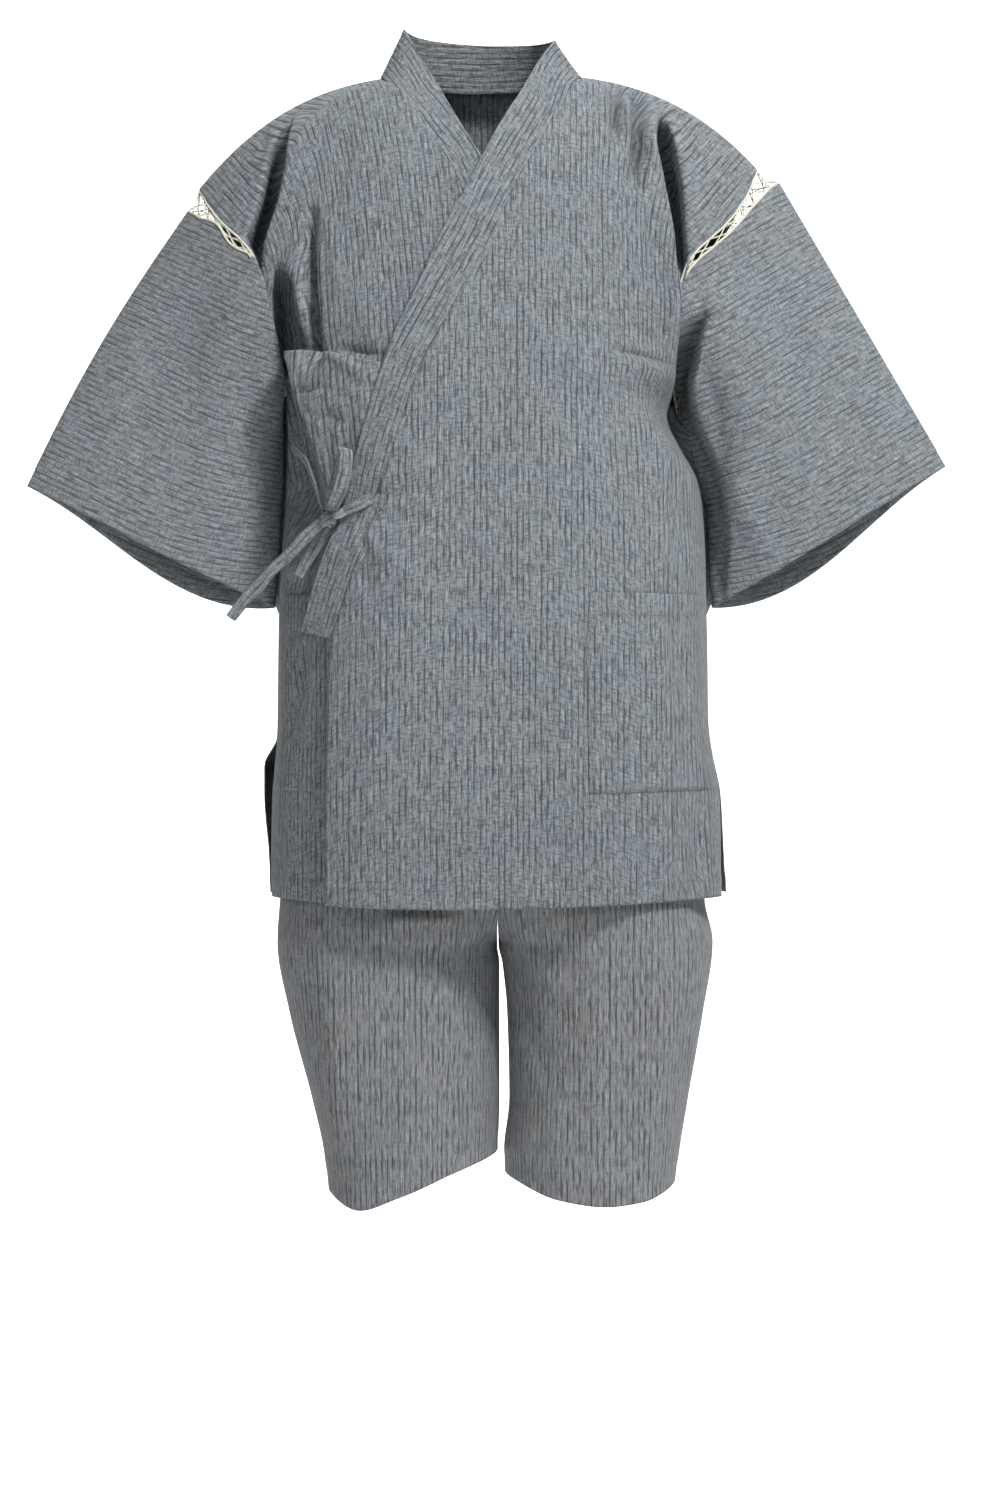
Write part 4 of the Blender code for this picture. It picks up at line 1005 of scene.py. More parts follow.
def covering_head(half, w, t):
    """How the front of the sleeve's head moves up to the lace's lower braid, and over it below."""
    shut = LACE_WIDTH.at("front", w) - LACE_SHOWS[half].at("wide", w)
    shut = shut * smooth_step((1.02 - w) / 0.12) * (1 - smooth_step(t / 0.3))
    back_up = -np.array(SLEEVES[half]["axis"]) * shut[..., None]
    back_up[..., 1] -= SLEEVE_LIES_OVER * smooth_step(shut / 8) * (LACE_SHOWS[half].at("wide", w) < 1.5)
    return back_up


# Soft creases as on the fronts, front face first.
SLEEVE_CREASES = {
    (RIGHT, FRONT): (
        (-222, -190, -250, -380, -12, -4, 18), (-238, -150, -330, -360, -14, 3.5, 26),
        (-206, -230, -214, -420, -6, 3, 10), (-290, -200, -372, -350, 6, -1.8, 20),
        (-200, -330, -232, -470, 4, -3, 10),
    ),
    (LEFT, FRONT): (
        (205, -190, 236, -380, 12, -4.5, 18), (222, -150, 320, -340, 14, 4, 26),
        (196, -270, 214, -400, 8, 4, 9), (280, -190, 366, -330, -6, -2, 20),
        (212, -330, 262, -450, -6, -3.5, 12), (220, -250, 250, -300, 0, 2.5, 9),
    ),
    (RIGHT, BACK): (
        (-215, -170, -262, -400, -12, -4, 20), (-242, -150, -340, -390, -10, 3.5, 24),
        (-210, -280, -224, -440, -5, 3, 12),
    ),
    (LEFT, BACK): (
        (205, -170, 250, -400, 12, -4, 20), (230, -150, 330, -380, 10, 3.5, 24),
        (204, -280, 222, -430, 5, 3, 12),
    ),
}
# Beside the body the wearer's left sleeve folds in deeply below the lace: along the line of x and z
# its outer side drops steeply, and towards the body it comes up softly.
SLEEVE_HOLLOW = Table(
    "z x deep steep soft",
    (-492, 214, 0, 4, 20),
    (-470, 215, 8, 4, 20),
    (-430, 216, 22, 5, 24),
    (-390, 212, 32, 5, 26),
    (-350, 200, 40, 5, 28),
    (-318, 186, 52, 4.5, 30),
    (-288, 181, 60, 4, 28),
    (-262, 187, 58, 3.5, 20),
    (-240, 194, 36, 3, 12),
    (-228, 198, 14, 3, 7),
    (-219, 200, 0, 3, 5),
)


def sleeve_hollow(half, x, z):
    if half == RIGHT:
        return 0 * x
    aside = x - SLEEVE_HOLLOW.at("x", z)
    return SLEEVE_HOLLOW.at("deep", z) * np.where(
        aside > 0,
        np.exp(-((aside / SLEEVE_HOLLOW.at("steep", z)) ** 4)),
        np.exp(-((aside / SLEEVE_HOLLOW.at("soft", z)) ** 2)),
    )


THREADS_BEND_OVER = 150
CUFF_HEM = 17
SLEEVE_AROUND, SLEEVE_LONG = 72, 78
sleeve_cotton = crinkled_cotton(
    "shijira_cotton_across", ground="#8b9296", dark="#4a4f53", pale="#a7aeb2", warm="#8a8780", cool="#838b9a"
)

cuffs = []
for half, side in SIDES_NAMED.items():
    round_w = np.concatenate([np.linspace(0, 1, SLEEVE_AROUND + 1), np.linspace(1, 0, SLEEVE_AROUND + 1)[1:]])
    round_w = blend(round_w, 0.5 - 0.5 * np.cos(math.pi * round_w), 0.6)
    long = np.linalg.norm(np.array(SLEEVES[half]["cuff_top"]) - sleeve_head(half, FRONT, np.zeros(1))[0])
    hem_at = 1 - CUFF_HEM / long
    t = np.concatenate([np.linspace(0, hem_at - 0.004, SLEEVE_LONG - 5), np.linspace(hem_at + 0.004, 1, 6)])
    w, t = np.meshgrid(round_w, t, indexing="ij")
    is_front = (np.arange(len(round_w)) <= SLEEVE_AROUND)[:, None] + 0 * t > 0
    front, back_face = (sleeve_surface(half, face, w, t) for face in (FRONT, BACK))
    front = front + covering_head(half, w, t)
    front[..., 1] += sleeve_hollow(half, front[..., 0], front[..., 2]) * smooth_step(t / 0.012)
    back_face[..., 1] = np.maximum(back_face[..., 1], front[..., 1] + 1.5)
    points = np.where(is_front[..., None], front, back_face)
    ends = (w < 1e-9) | (w > 1 - 1e-9)
    points = np.where(ends[..., None], (front + back_face) / 2, points)
    normal = normals_of(points, round_it=True) * -half
    x, z = points[..., 0], points[..., 2]
    on_front, on_back = (creased(SLEEVE_CREASES[half, face], x, z) for face in (FRONT, BACK))
    rise = np.where(is_front, on_front, on_back) + np.where(is_front, uneven(x, z), uneven(x + 70, z + 50))
    rise *= smooth_step(w / 0.06) * smooth_step((1 - w) / 0.08) * smooth_step(t / 0.12)
    rise += CLOTH_RAISED + HEM_STEP * smooth_step((t - hem_at) / 0.006 + 0.5)
    # Threads run along the cuff and bend level towards the underarm.
    top, under = np.array(SLEEVES[half]["cuff_top"], float), SLEEVES[half]["under"].rows[-1]
    along = np.array([under[1] - top[0], under[2] - top[2]])
    cuff_long = np.linalg.norm(along)
    along = along / cuff_long
    down_arm = np.array([along[1] * half, -along[0] * half]) * -1
    s = (x - top[0]) * along[0] + (z - top[2]) * along[1]
    past = np.maximum(s - (cuff_long - THREADS_BEND_OVER), 0)
    across = (x - top[0]) * down_arm[0] + (z - top[2]) * down_arm[1] + past**2 * 0.25 / THREADS_BEND_OVER
    depth = lengths_along(np.stack([points[..., 1], 0 * t, 0 * t], axis=-1), 0)
    threads = np.stack([across, s + 0.5 * depth + np.where(is_front, 0, 700)], axis=-1)
    points = points + normal * rise[..., None]
    cuffs.append(points[:, -7] + normal[:, -7] * CLOTH_THICK)
    if half == RIGHT:
        points, threads = points[:, ::-1], threads[:, ::-1]
    sleeve = cloth_shell("sleeve_" + side + "_tube", points, threads, sleeve_cotton, round_it=True)
    give_to_body(sleeve, "blue_grey_cotton", "sleeve_" + side)

# ---------------------------------------------------------------- the lace
# Open lace let in between each armhole and sleeve: two cream braids with threads crossing between
# them. It opens wide on top of the shoulder and lies nearly shut below.

lace_cotton, tree, shader = new_material("cream_cotton_thread", Roughness=0.8, Sheen_Weight=0.2)
# Twisted thread: fine slanting plies, cream, painted darker where the plies' bump sinks, as shade in their
# hollows.
place = add_node(tree, "ShaderNodeTexCoord").outputs["Object"]
plies = add_node(
    tree, "ShaderNodeTexNoise", Vector=place, Scale=1 / (0.9 * MM), Detail=2.0, Roughness=0.6
).outputs["Fac"]
tone = add_node(
    tree, "ShaderNodeMapRange", Value=plies, From_Min=0.35, From_Max=0.65, To_Min=0.0, To_Max=1.0
).outputs["Result"]
# Painted shade: the darker cream goes where the noise that drives the bump is low.
colour = add_node(
    tree, "ShaderNodeMix", {"data_type": "RGBA"}, _0=tone, _6=colour_of("#c9c8b4"), _7=colour_of("#ece9da")
).outputs[2]
tree.links.new(colour, shader.inputs["Base Color"])
bump = add_node(tree, "ShaderNodeBump", Height=plies, Strength=0.6, Distance=0.25 * MM)
tree.links.new(bump.outputs["Normal"], shader.inputs["Normal"])

RAIL_ROUND, THREAD_ROUND, FINE_ROUND = 2.3, 1.25, 0.8
LACE_CELLS = 15


def lace_point(half, face, w, q):
    """A point of the lace, q from the armhole to the sleeve."""
    w = blend(0.004, 0.97, w)
    hole, head = armhole(half, face, w), sleeve_head(half, face, w)
    if face == FRONT:
        shut = LACE_WIDTH.at("front", w) - np.maximum(LACE_SHOWS[half].at("wide", w), 2.5)
        head = head - np.array(SLEEVES[half]["axis"]) * shut[..., None]
    points = blend(hole, head, q[..., None])
    points[..., 1] += face * 0.8
    return points


def threads_mesh(name, lines, cloth):
    """Round threads along lines of points, as one mesh. Each line comes with its thickness."""
    curve = bpy.data.curves.new(name + " lines", "CURVE")
    curve.dimensions = "3D"
    curve.bevel_depth = 0.5 * MM
    curve.bevel_resolution = 2
    curve.use_fill_caps = True
    for thick, points in lines:
        spline = curve.splines.new("POLY")
        spline.points.add(len(points) - 1)
        spline.points.foreach_set("co", np.column_stack([points * MM, np.ones(len(points))]).ravel())
        spline.points.foreach_set("radius", np.full(len(points), thick))
    drawn = new_object(name + " lines", curve)
    graph = bpy.context.evaluated_depsgraph_get()
    mesh = bpy.data.meshes.new_from_object(drawn.evaluated_get(graph))
    bpy.data.objects.remove(drawn)
    mesh.name = name
    mesh.materials.clear()
    mesh.materials.append(cloth)
    mesh.shade_smooth()
    return new_object(name, mesh)


for half, side in SIDES_NAMED.items():
    for face, where in FACES_NAMED.items():
        lines = []
        w = np.linspace(0, 1, 121)
        for q in (0.03, 0.97):
            sway = 0.012 * np.sin(w * LACE_CELLS * 2 * math.pi)
            lines.append((RAIL_ROUND, lace_point(half, face, w, q + sway)))
        for i in range(LACE_CELLS):
            cell = np.linspace(0, 1, 9)
            w = (i + cell) / LACE_CELLS
            sag = np.sin(math.pi * cell) * 0.04
            lines.append((THREAD_ROUND, lace_point(half, face, w, blend(0.05, 0.95, cell) + sag)))
            lines.append((THREAD_ROUND, lace_point(half, face, w, blend(0.95, 0.05, cell) + sag)))
            if i < 4:
                skewed = np.clip((i + blend(-0.35, 1.3, cell)) / LACE_CELLS, 0, 1)
                lines.append((FINE_ROUND, lace_point(half, face, skewed, blend(0.05, 0.95, cell))))
                skewed = np.clip((i + blend(1.35, -0.3, cell)) / LACE_CELLS, 0, 1)
                lines.append((FINE_ROUND, lace_point(half, face, skewed, blend(0.05, 0.95, cell))))
        lace = threads_mesh("lace_" + side + "_" + where + "_net", lines, lace_cotton)
        give_to_body(lace, "cream_lace", "lace_" + side + "_" + where)

# ---------------------------------------------------------------- the shorts
# Knee-length shorts of four panels on a gathered waistband, which the jacket hides.

CROTCH_DROP, RISE_BENDS_AT, WAIST_DROP = 796, 690, 536
SHORTS = Table(
    "drop right_x left_x right_in left_in front_y back_y",
    (536, -136, 156, 10, 10, -100, 86),
    (600, -160, 178, 10, 10, -108, 92),
    (680, -180, 194, 10, 10, -112, 98),
    (762, -190, 200, 10, 10, -110, 102),
    (796, -192, 207, 9, 11, -106, 102),
    (860, -181, 198, 9, 17, -101, 101),
    (940, -160, 184, 9, 19, -97, 100),
    (990, -149, 176, 8, 14, -95, 98),
    (1050, -143, 169, 8, 17, -94, 96),
)
SHORTS_SQUARE, SHORTS_ROUND = 2.3, 0.35
# Below the crotch the inner edges of both legs lie this much further towards the wearer's left, which
# for the right leg is towards the middle.
CROTCH_SEEN, CROTCH_SOFT, LEG_PARTS = 802, 14, {RIGHT: -2.0, LEFT: 2.0}
HEMS = {
    RIGHT: Table(
        "m front back",
        (-1, 988, 988), (-0.5, 1006, 1000), (0, 1024, 1012), (0.5, 1036, 1020), (1, 1022, 1022),
    ),
    LEFT: Table(
        "m front back",
        (-1, 1008, 1008), (-0.5, 1026, 1018), (0, 1032, 1022), (0.5, 1028, 1020), (1, 1014, 1014),
    ),
}


def shorts_surface(half, face, s, t):
    """One panel of the shorts; s from the centre or inside seam to the side seam, t from waist to hem."""
    hems = HEMS[half]
    side, where = SIDES_NAMED[half], FACES_NAMED[face]
    drop = blend(WAIST_DROP, hems.at(where, 2 * s - 1), t)
    past = np.clip((drop - RISE_BENDS_AT) / (CROTCH_DROP - RISE_BENDS_AT), 0, 1)
    m = blend(-past, 1, s)
    apart = SEAM_GAP / 2 + LEG_PARTS[half] * smooth_step((drop - CROTCH_SEEN) / CROTCH_SOFT)
    inner = SHORTS.at(side + "_in", drop) + half * apart
    outer = SHORTS.at(side + "_x", drop)
    x = blend(inner, outer, blend(s, np.sin(0.5 * np.pi * s), SHORTS_ROUND))
    depth = SHORTS.at(where + "_y", drop)
    y = depth * (1 - np.abs(m) ** SHORTS_SQUARE) ** (1 / SHORTS_SQUARE)
    return stack(x, y + face * SEAM_GAP / 2, -drop)


SHORTS_CREASES = {
    (RIGHT, FRONT): (
        (-86, -772, -26, -771, 0, -8, 4.5), (-112, -782, -26, -800, 6, -3.5, 9),
        (-12, -770, -50, -850, 8, -3.5, 9), (-20, -800, -90, -880, 8, 3, 10),
        (-46, -850, -20, -900, 4, -2.4, 8), (-100, -800, -118, -1000, 4, 2.2, 16),
        (-64, -860, -60, -1010, -3, -2.2, 14), (-28, -985, -29, -935, 0, -3.5, 4),
        (-36, -1005, -38, -915, 0, 2.4, 7), (-140, -860, -136, -1000, 3, -2.4, 9),
        (-160, -790, -150, -900, -3, 2.2, 10),
    ),
    (LEFT, FRONT): (
        (30, -772, 80, -850, -8, -3, 10), (22, -800, 60, -930, -6, 2.6, 10),
        (90, -790, 100, -1000, 4, -2.4, 15), (130, -800, 124, -1010, -4, 2.4, 14),
        (160, -820, 150, -980, 3, -2.2, 10), (60, -930, 66, -1020, 2, -2, 11),
        (178, -840, 168, -960, 2, 2, 8),
    ),
    (RIGHT, BACK): (
        (-20, -780, -80, -880, 8, -3, 11), (-110, -780, -100, -1000, 4, 2.4, 18),
        (-60, -880, -64, -1000, 3, -2.2, 14), (-138, -820, -132, -990, 3, -2, 12),
    ),
    (LEFT, BACK): (
        (24, -780, 84, -880, -8, -3, 11), (120, -780, 110, -1000, -4, 2.4, 18),
        (70, -880, 76, -1000, -3, -2.2, 14), (152, -820, 146, -990, -3, -2, 12),
    ),
}
SHORTS_HEM, SHORTS_PANEL_LONG = 18, 488
SHORTS_WIDE, SHORTS_LONG = 64, 120
shorts_cotton = crinkled_cotton(
    "shijira_cotton_shorts", ground="#888b8f", dark="#393b3e", pale="#a4a7aa", warm="#8a8882", cool="#828996",
    crossed=0.14,
)

short_hems = []
for half, side in SIDES_NAMED.items():
    for face, where in FACES_NAMED.items():
        above_hem = np.linspace(0, 1, SHORTS_LONG - 6, endpoint=False) * 0.962
        rows = np.concatenate([above_hem, np.linspace(0.963, 1, 8)])
        s = np.linspace(0, 1, SHORTS_WIDE + 1)
        s, t = np.meshgrid(blend(s, 0.5 - 0.5 * np.cos(math.pi * s), 0.4), rows, indexing="ij")
        points = shorts_surface(half, face, s, t)
        normal = normals_of(points) * half * -face
        x, z = points[..., 0], points[..., 2]
        rise = creased(SHORTS_CREASES[half, face], x, z) + uneven(x + 200 * half, z + 90 * face, 1.1)
        rise *= smooth_step(s / 0.07) * smooth_step((1 - s) / 0.07) * smooth_step(t / 0.1)
        rise += CLOTH_RAISED + HEM_STEP * turned_hem((1 - t) * SHORTS_PANEL_LONG, SHORTS_HEM)
        reach = lengths_along(points, 0)
        reach = reach - reach[SHORTS_WIDE // 2] + half * x[SHORTS_WIDE // 2]
        threads = np.stack([reach * half + 900, -z + 13 * face], axis=-1)
        points = points + normal * rise[..., None]
        short_hems.append(points[:, -8] + normal[:, -8] * CLOTH_THICK)
        if half * face == LEFT * FRONT:
            points, threads = points[:, ::-1], threads[:, ::-1]
        panel = cloth_shell("shorts_" + where + "_" + side + "_panel", points, threads, shorts_cotton)
        give_to_body(panel, "blue_grey_cotton", "shorts_" + where + "_" + side)

WAISTBAND_HIGH, WAISTBAND_THICK = 32, 1.2
GATHERS, GATHER_DEEP = 76, 1.1
s = np.linspace(0.03, 1, 61)
quarters = []
for half, face in ((LEFT, FRONT), (RIGHT, FRONT), (RIGHT, BACK), (LEFT, BACK)):
    ordered = s[::-1] if half * face == LEFT * FRONT else s
    quarters.append(shorts_surface(half, face, ordered, np.zeros(len(s))))
ring = np.vstack([quarter[:-1] for quarter in quarters] + [quarters[0][:1]])
heights = np.linspace(0, 1, 11)
points = ring[:, None, :] + np.zeros((1, len(heights), 1))
points[..., 2] += SEAM_GAP + WAISTBAND_HIGH * heights
around = np.linspace(0, 2 * math.pi, len(ring))[:, None]
outward = points * np.array([1, 1, 0]) - np.array([10, -5, 0])
outward /= np.linalg.norm(outward, axis=-1, keepdims=True)
gather = GATHER_DEEP * np.sin(around * GATHERS) * (0.5 + 0.5 * np.sin(math.pi * heights)[None, :])
threads = np.stack([lengths_along(points, 0), heights[None, :] * WAISTBAND_HIGH + 0 * around], axis=-1)
points = points + outward * (gather + 0.4)[..., None]
waistband = cloth_shell(
    "waistband_of_shorts", points[:, ::-1], threads[:, ::-1], shorts_cotton, WAISTBAND_THICK, round_it=True
)
give_to_body(waistband, "blue_grey_cotton", "shorts_waistband")

# ---------------------------------------------------------------- the ties
# Narrow folded ties of the same cloth. One from the band and one from the side meet in a knot at the
# wearer's right, with one loop standing up and two ends hanging.

TIE_WIDE, TIE_THICK = 11, 2.2
RING = 20
tie_cotton = crinkled_cotton(
    "shijira_cotton_ties", ground="#8b9296", dark="#3f4448", pale="#a7aeb2", warm="#86837c", cool="#7f8795"
)


def ribbon(name, stations, wide, facing=None, across=None, curl=0.0, twist=0.0, taper=0.0):
    """A folded flat tie along its stations, as a closed mesh, and its middle line. Its broad side faces
    "facing", or its width lies "across"."""
    t = np.linspace(0, 1, 14 * (len(stations) - 1) + 1)
    centre = through(np.array(stations, float), t)
    ahead = np.gradient(centre, axis=0)
    ahead /= np.linalg.norm(ahead, axis=1, keepdims=True)
    if across is None:
        side = np.cross(ahead, np.array(facing, float))
    else:
        side = np.array(across, float) - ahead * (ahead @ np.array(across, float))[:, None]
    side /= np.linalg.norm(side, axis=1, keepdims=True)
    out = np.cross(side, ahead)
    angle = (twist * t)[:, None]
    side, out = side * np.cos(angle) + out * np.sin(angle), out * np.cos(angle) - side * np.sin(angle)
    around = np.linspace(0, 2 * math.pi, RING + 1)[:, None]
    aside = np.sign(np.cos(around)) * np.abs(np.cos(around)) ** 0.6
    through_it = np.sign(np.sin(around)) * np.abs(np.sin(around)) ** 0.5
    run = lengths_along(centre[None], 1)[0]
    pleat = 0.35 * np.cos(aside * 2.2 * math.pi + run / 31)
    width = wide / 2 * (1 - taper * t) * (1 + 0.05 * np.sin(run / 11))
    deep = TIE_THICK / 2 * through_it + (curl * (aside**2 - 0.4) + pleat * 0.5)
    points = centre + side * (aside * width)[..., None] + out * deep[..., None]
    one_side = aside * wide / 2 + np.where(through_it > 0, 0, 40)
    threads = np.stack([one_side + 0 * run, run + 0 * aside], axis=-1)
    made = cloth_mesh(name, points, threads + np.array([0, 60.0 * len(name)]), round_it=True)
    made.data.materials.append(tie_cotton)
    shell = bmesh.new()
    shell.from_mesh(made.data)
    rims = [edge for edge in shell.edges if edge.is_boundary]
    bmesh.ops.holes_fill(shell, edges=rims, sides=0)
    bmesh.ops.recalc_face_normals(shell, faces=shell.faces)
    shell.to_mesh(made.data)
    shell.free()
    return made, centre


def on_front(half, x, z, lift):
    """The point seen at (x, z) on a front, moved out by "lift"."""
    own_x, down = place_of(half, np.float64(x), np.float64(z))
    return tuple(front_surface(half, own_x, down) + outwards(FRONT, own_x, down) * lift)


KNOT = (-140.5, -131.5, -416)
loop, _ = ribbon(
    "tie_loop_ribbon",
    ((-138, -136, -408), (-134.5, -140, -392), (-130.5, -143, -374), (-127.5, -145.5, -360),
     (-126, -150, -354.5), (-124, -154, -359), (-125, -155.5, -374), (-130, -152, -392),
     (-136.5, -146, -405)),
    12, across=(1, 0, -0.25), curl=0.7,
)
give_to_body(loop, "blue_grey_cotton", "tie_loop")
long_tail, tail_line = ribbon(
    "tie_long_tail_ribbon",
    ((-147, -130, -419), (-161, -128, -431), (-176, -125, -447), (-190, -121, -459), (-203, -117, -474),
     (-216, -112.5, -487), (-229, -108, -503)),
    TIE_WIDE, (0, -1, 0), curl=-0.8, twist=0.35,
)
give_to_body(long_tail, "blue_grey_cotton", "tie_long_tail")
tail_length = float(lengths_along(tail_line[None], 1)[0, -1]) * MM
short_tail, _ = ribbon(
    "tie_short_tail_ribbon",
    ((-143.5, -121, -421), (-154, -115, -441), (-161, -111.5, -453), (-168, -108, -466)),
    TIE_WIDE, (0, -1, 0), curl=0.9, twist=-0.3,
)
give_to_body(short_tail, "blue_grey_cotton", "tie_short_tail")
lying = [
    on_front(LEFT, x, z, lift)
    for x, z, lift in ((-101, -397, 1.6), (-108, -401, 3), (-116, -405.5, 4), (-124, -409, 5))
]
outer_tie, _ = ribbon(
    "tie_from_band", lying + [(-131, -137, -412), (-138, -137, -413.5)],
    TIE_WIDE, (0, -1, -0.1), curl=0.9, taper=0.45,
)
give_to_body(outer_tie, "blue_grey_cotton", "tie_outer")
side_tie, _ = ribbon(
    "tie_from_side",
    ((-176, -30, -346), (-171, -62, -351), (-164, -90, -359), (-156, -110, -377), (-149.5, -121, -396),
     (-145, -127, -408)),
    9, (-1, -0.05, 0), curl=0.7,
)
give_to_body(side_tie, "blue_grey_cotton", "tie_side")

# The knot: two turns of tie wrapped slantwise across each other round its middle.
wraps = []
for tilt, size, turns in ((0.5, 1.0, (0, 6.28)), (-0.9, 0.86, (0.4, 6.68))):
    a = np.linspace(*turns, 15)
    ring = np.stack([6.0 * size * np.cos(a), 4.2 * size * np.sin(a), 0 * a], axis=1)
    c, s = math.cos(tilt), math.sin(tilt)
    ring = ring @ np.array([[c, 0, s], [0, 1, 0], [-s, 0, c]])
    wraps.append(np.array(KNOT) + ring)
knot_shell = bmesh.new()
for ring, facing in zip(wraps, ((0.3, 0, 1), (-0.4, 0, 1))):
    a = np.linspace(0, 1, 61)
    centre = through(ring, a)
    outward = centre - np.array(KNOT)
    outward /= np.linalg.norm(outward, axis=1, keepdims=True)
    ahead = np.gradient(centre, axis=0)
    side = np.cross(ahead, outward)
    side /= np.linalg.norm(side, axis=1, keepdims=True)
    bulge = np.linspace(-1, 1, 13)[:, None]
    crest = np.sqrt(np.maximum(1 - bulge**2, 0))
    pleats = 0.45 * np.cos(bulge * 9) * crest
    points = centre + side * (bulge * 4.6)[..., None] + outward * (crest * 2.6 + pleats)[..., None]
    run = lengths_along(centre[None], 1)[0] + 0 * bulge
    piece = cloth_mesh("knot wrap", points, np.stack([bulge * 5 + 0 * run, run], axis=-1))
    wall = piece.modifiers.new("wall", "SOLIDIFY")
    wall.thickness = 1.4 * MM
    wall.offset = -1
    graph = bpy.context.evaluated_depsgraph_get()
    knot_shell.from_mesh(piece.evaluated_get(graph).to_mesh())
    bpy.data.objects.remove(piece)
knot_mesh = bpy.data.meshes.new("tie_knot_wrapped")
knot_shell.to_mesh(knot_mesh)
knot_shell.free()
knot_mesh.materials.append(tie_cotton)
knot_mesh.shade_smooth()
give_to_body(new_object("tie_knot_wrapped", knot_mesh), "blue_grey_cotton", "tie_knot")

# ---------------------------------------------------------------- the stitching
# Lockstitch in grey thread along the hems, the cuffs, the slits' edges and the pockets.

# The named inputs of the stitches' nodes, in millimetres.
STITCH_SIZES = {"Apart": 3.3, "Long": 2.3, "Radius": 0.275}
stitch_thread, tree, shader = new_material("grey_sewing_thread", Roughness=0.6)
place = add_node(tree, "ShaderNodeTexCoord").outputs["Object"]
plies = add_node(tree, "ShaderNodeTexNoise", Vector=place, Scale=1 / (0.4 * MM)).outputs["Fac"]
colour = add_node(
    tree, "ShaderNodeMix", {"data_type": "RGBA"}, _0=plies, _6=colour_of("#555b60"), _7=colour_of("#8a9196")
).outputs[2]
tree.links.new(colour, shader.inputs["Base Color"])

stitching = bpy.data.node_groups.new("stitches along lines", "GeometryNodeTree")
stitching.interface.new_socket("Lines", in_out="INPUT", socket_type="NodeSocketGeometry")
size_inputs = {
    name: stitching.interface.new_socket(name, in_out="INPUT", socket_type="NodeSocketFloat").identifier
    for name in STITCH_SIZES
}
stitching.interface.new_socket("Stitches", in_out="OUTPUT", socket_type="NodeSocketGeometry")
entry = add_node(stitching, "NodeGroupInput")
curve = add_node(stitching, "GeometryNodeMeshToCurve", Mesh=entry.outputs["Lines"])
spaced = add_node(
    stitching, "GeometryNodeResampleCurve", {"mode": "LENGTH"},
    Curve=curve.outputs[0], Length=entry.outputs["Apart"],
)
tangent = add_node(stitching, "GeometryNodeInputTangent")
turned = add_node(stitching, "FunctionNodeAlignRotationToVector", {"axis": "Z"}, Vector=tangent.outputs[0])
stitch = add_node(
    stitching, "GeometryNodeMeshCylinder",
    Vertices=6, Side_Segments=3, Radius=entry.outputs["Radius"], Depth=entry.outputs["Long"],
)
placed = add_node(
    stitching, "GeometryNodeInstanceOnPoints",
    Points=spaced.outputs[0], Instance=stitch.outputs["Mesh"], Rotation=turned.outputs[0],
)
real = add_node(stitching, "GeometryNodeRealizeInstances", Geometry=placed.outputs[0])
coloured = add_node(stitching, "GeometryNodeSetMaterial", Geometry=real.outputs[0], Material=stitch_thread)
add_node(stitching, "NodeGroupOutput", _0=coloured.outputs[0])


def stitch_along(name, lines):
    """Stitches along lines of points in millimetres."""
    corners, edges = [], []
    for line in lines:
        first = len(corners)
        corners += list(line * MM)
        edges += [(first + i, first + i + 1) for i in range(len(line) - 1)]
    mesh = bpy.data.meshes.new(name)
    mesh.from_pydata(corners, edges, [])
    drawn = new_object(name, mesh)
    sewn = drawn.modifiers.new("stitches", "NODES")
    sewn.node_group = stitching
    for size, value in STITCH_SIZES.items():
        sewn[size_inputs[size]] = value * MM
    graph = bpy.context.evaluated_depsgraph_get()
    real_mesh = bpy.data.meshes.new_from_object(drawn.evaluated_get(graph))
    drawn.modifiers.clear()
    drawn.data = real_mesh
    real_mesh.name = name
    give_to_body(drawn, "blue_grey_cotton")


pocket_lines, front_hem_lines, slit_lines = [], [], []
ON_PATCH = CLOTH_RAISED + CLOTH_THICK + 0.7
for half in (LEFT, RIGHT):
    across = np.linspace(0.02, 0.98, 80)
    downs = np.linspace(POCKET_DOWNS[0] + 1, POCKET_DOWNS[1] - 2, 90)
    bottom = np.full(80, POCKET_DOWNS[1] - 2.5)
    pocket_lines.append(hanging_front(half, pocket_x(half, across, bottom), bottom, ON_PATCH + 0.4))
    for column, inwards in zip(POCKET_COLUMNS, (2.5, -2.5)):
        x = front_column(half, np.float64(column), downs) + half * inwards
        pocket_lines.append(hanging_front(half, x, downs, ON_PATCH + 0.3))
    mouth = np.full(80, POCKET_DOWNS[0] + POCKET_HEM - 2.0)
    swells = POCKET_BULGE * np.sin(math.pi * across) ** 0.6 * math.sin(math.pi * 0.34) ** 0.6
    pocket_lines.append(hanging_front(half, pocket_x(half, across, mouth), mouth, ON_PATCH + 0.5 + swells))
    # The front's hem.
    down = np.full(160, HEM_DOWN - HEM_WIDE + 2.5)
    start = SEAM_LINES[half].straight("x", down) + half * 3
    end = side_edge(half, FRONT, down)[..., 0] - half * 4
    x = blend(start, end, np.linspace(0, 1, 160))
    front_hem_lines.append(hanging_front(half, x, down, ON_CLOTH + HEM_STEP))
    # The slit's edge.
    down = np.linspace(SLIT_DOWN, HEM_DOWN - 2, 60)
    x = side_edge(half, FRONT, down)[..., 0] - half * 9
    slit_lines.append(hanging_front(half, x, down, ON_CLOTH))
stitch_along("stitches_of_pockets", pocket_lines)
stitch_along("stitches_of_fronts", front_hem_lines + slit_lines)
stitch_along("stitches_of_back", [back_hem_line])
stitch_along("stitches_of_cuffs", cuffs)
stitch_along("stitches_of_shorts", short_hems)

# ---------------------------------------------------------------- the studio
# A white sweep for a floor and backdrop, and broad soft lights, the main one before and to the right.

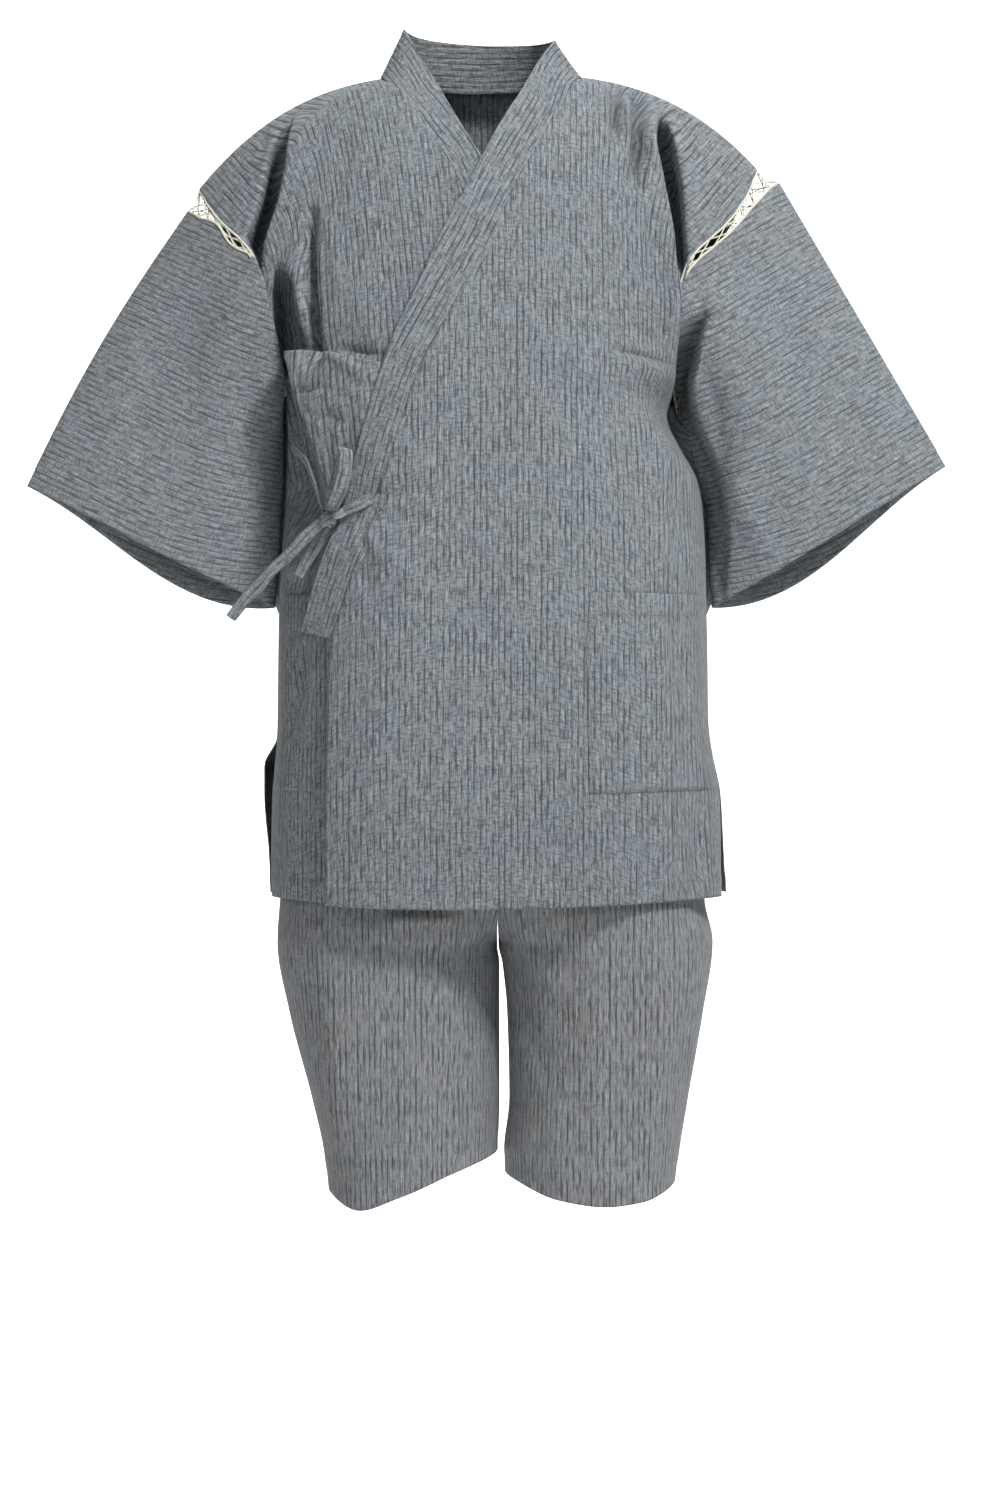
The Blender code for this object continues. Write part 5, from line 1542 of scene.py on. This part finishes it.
FLOOR_Z = -1.42
sweep_mesh = bpy.data.meshes.new("sweep")
reach, bends_from, bend = 6.0, 3.0, 1.2
profile = [(-reach, 0.0)]
for a in np.linspace(0, math.pi / 2, 17):
    profile.append((bends_from + bend * math.sin(a), bend - bend * math.cos(a)))
profile.append((bends_from + bend, reach))
corners = [(x, y, FLOOR_Z + z) for x in (-reach, reach) for y, z in profile]
count = len(profile)
sweep_mesh.from_pydata(corners, [], [(i, count + i, count + i + 1, i + 1) for i in range(count - 1)])
sweep_mesh.shade_smooth()
sweep = new_object("sweep", sweep_mesh)
paper, tree, shader = new_material(
    "white_paper", Base_Color=(0.95, 0.95, 0.95, 1), Roughness=0.9, Emission_Color=(1, 1, 1, 1)
)
seen = add_node(tree, "ShaderNodeLightPath").outputs["Is Camera Ray"]
glow = add_node(tree, "ShaderNodeMath", {"operation": "MULTIPLY_ADD"}, _0=seen, _1=0.5, _2=0.05)
tree.links.new(glow.outputs[0], shader.inputs["Emission Strength"])
# Seen from behind, the backdrop is clear, so that the garment shows from there too.
behind = add_node(tree, "ShaderNodeNewGeometry").outputs["Backfacing"]
clear = add_node(tree, "ShaderNodeBsdfTransparent").outputs["BSDF"]
front_only = add_node(tree, "ShaderNodeMixShader", _0=behind, _1=shader.outputs["BSDF"], _2=clear)
tree.links.new(front_only.outputs[0], tree.nodes["Material Output"].inputs["Surface"])
sweep_mesh.materials.append(paper)

world = bpy.data.worlds.new("studio")
bpy.context.scene.world = world
world.use_nodes = True
world.node_tree.nodes["Background"].inputs["Color"].default_value = (1, 1, 1, 1)
world.node_tree.nodes["Background"].inputs["Strength"].default_value = 0.06


def soft_light(name, place, aim, wide, watts):
    lamp = bpy.data.lights.new(name, "AREA")
    lamp.shape = "DISK"
    lamp.size = wide
    lamp.energy = watts
    made = new_object(name, lamp)
    made.location = place
    made.rotation_euler = (Vector(aim) - Vector(place)).to_track_quat("-Z", "Y").to_euler()


soft_light("key", (1.5, -2.4, 2.3), (0, 0, -0.5), 0.8, 138)
soft_light("fill", (-0.9, -3.4, 0.6), (0, 0, -0.6), 1.0, 19)
soft_light("top", (0.2, -0.3, 2.6), (0, 0, -0.4), 1.6, 20)
soft_light("behind", (0, 2.2, 2.4), (0, 4.2, -0.6), 2.0, 120)
bpy.context.scene.view_settings.view_transform = "Standard"
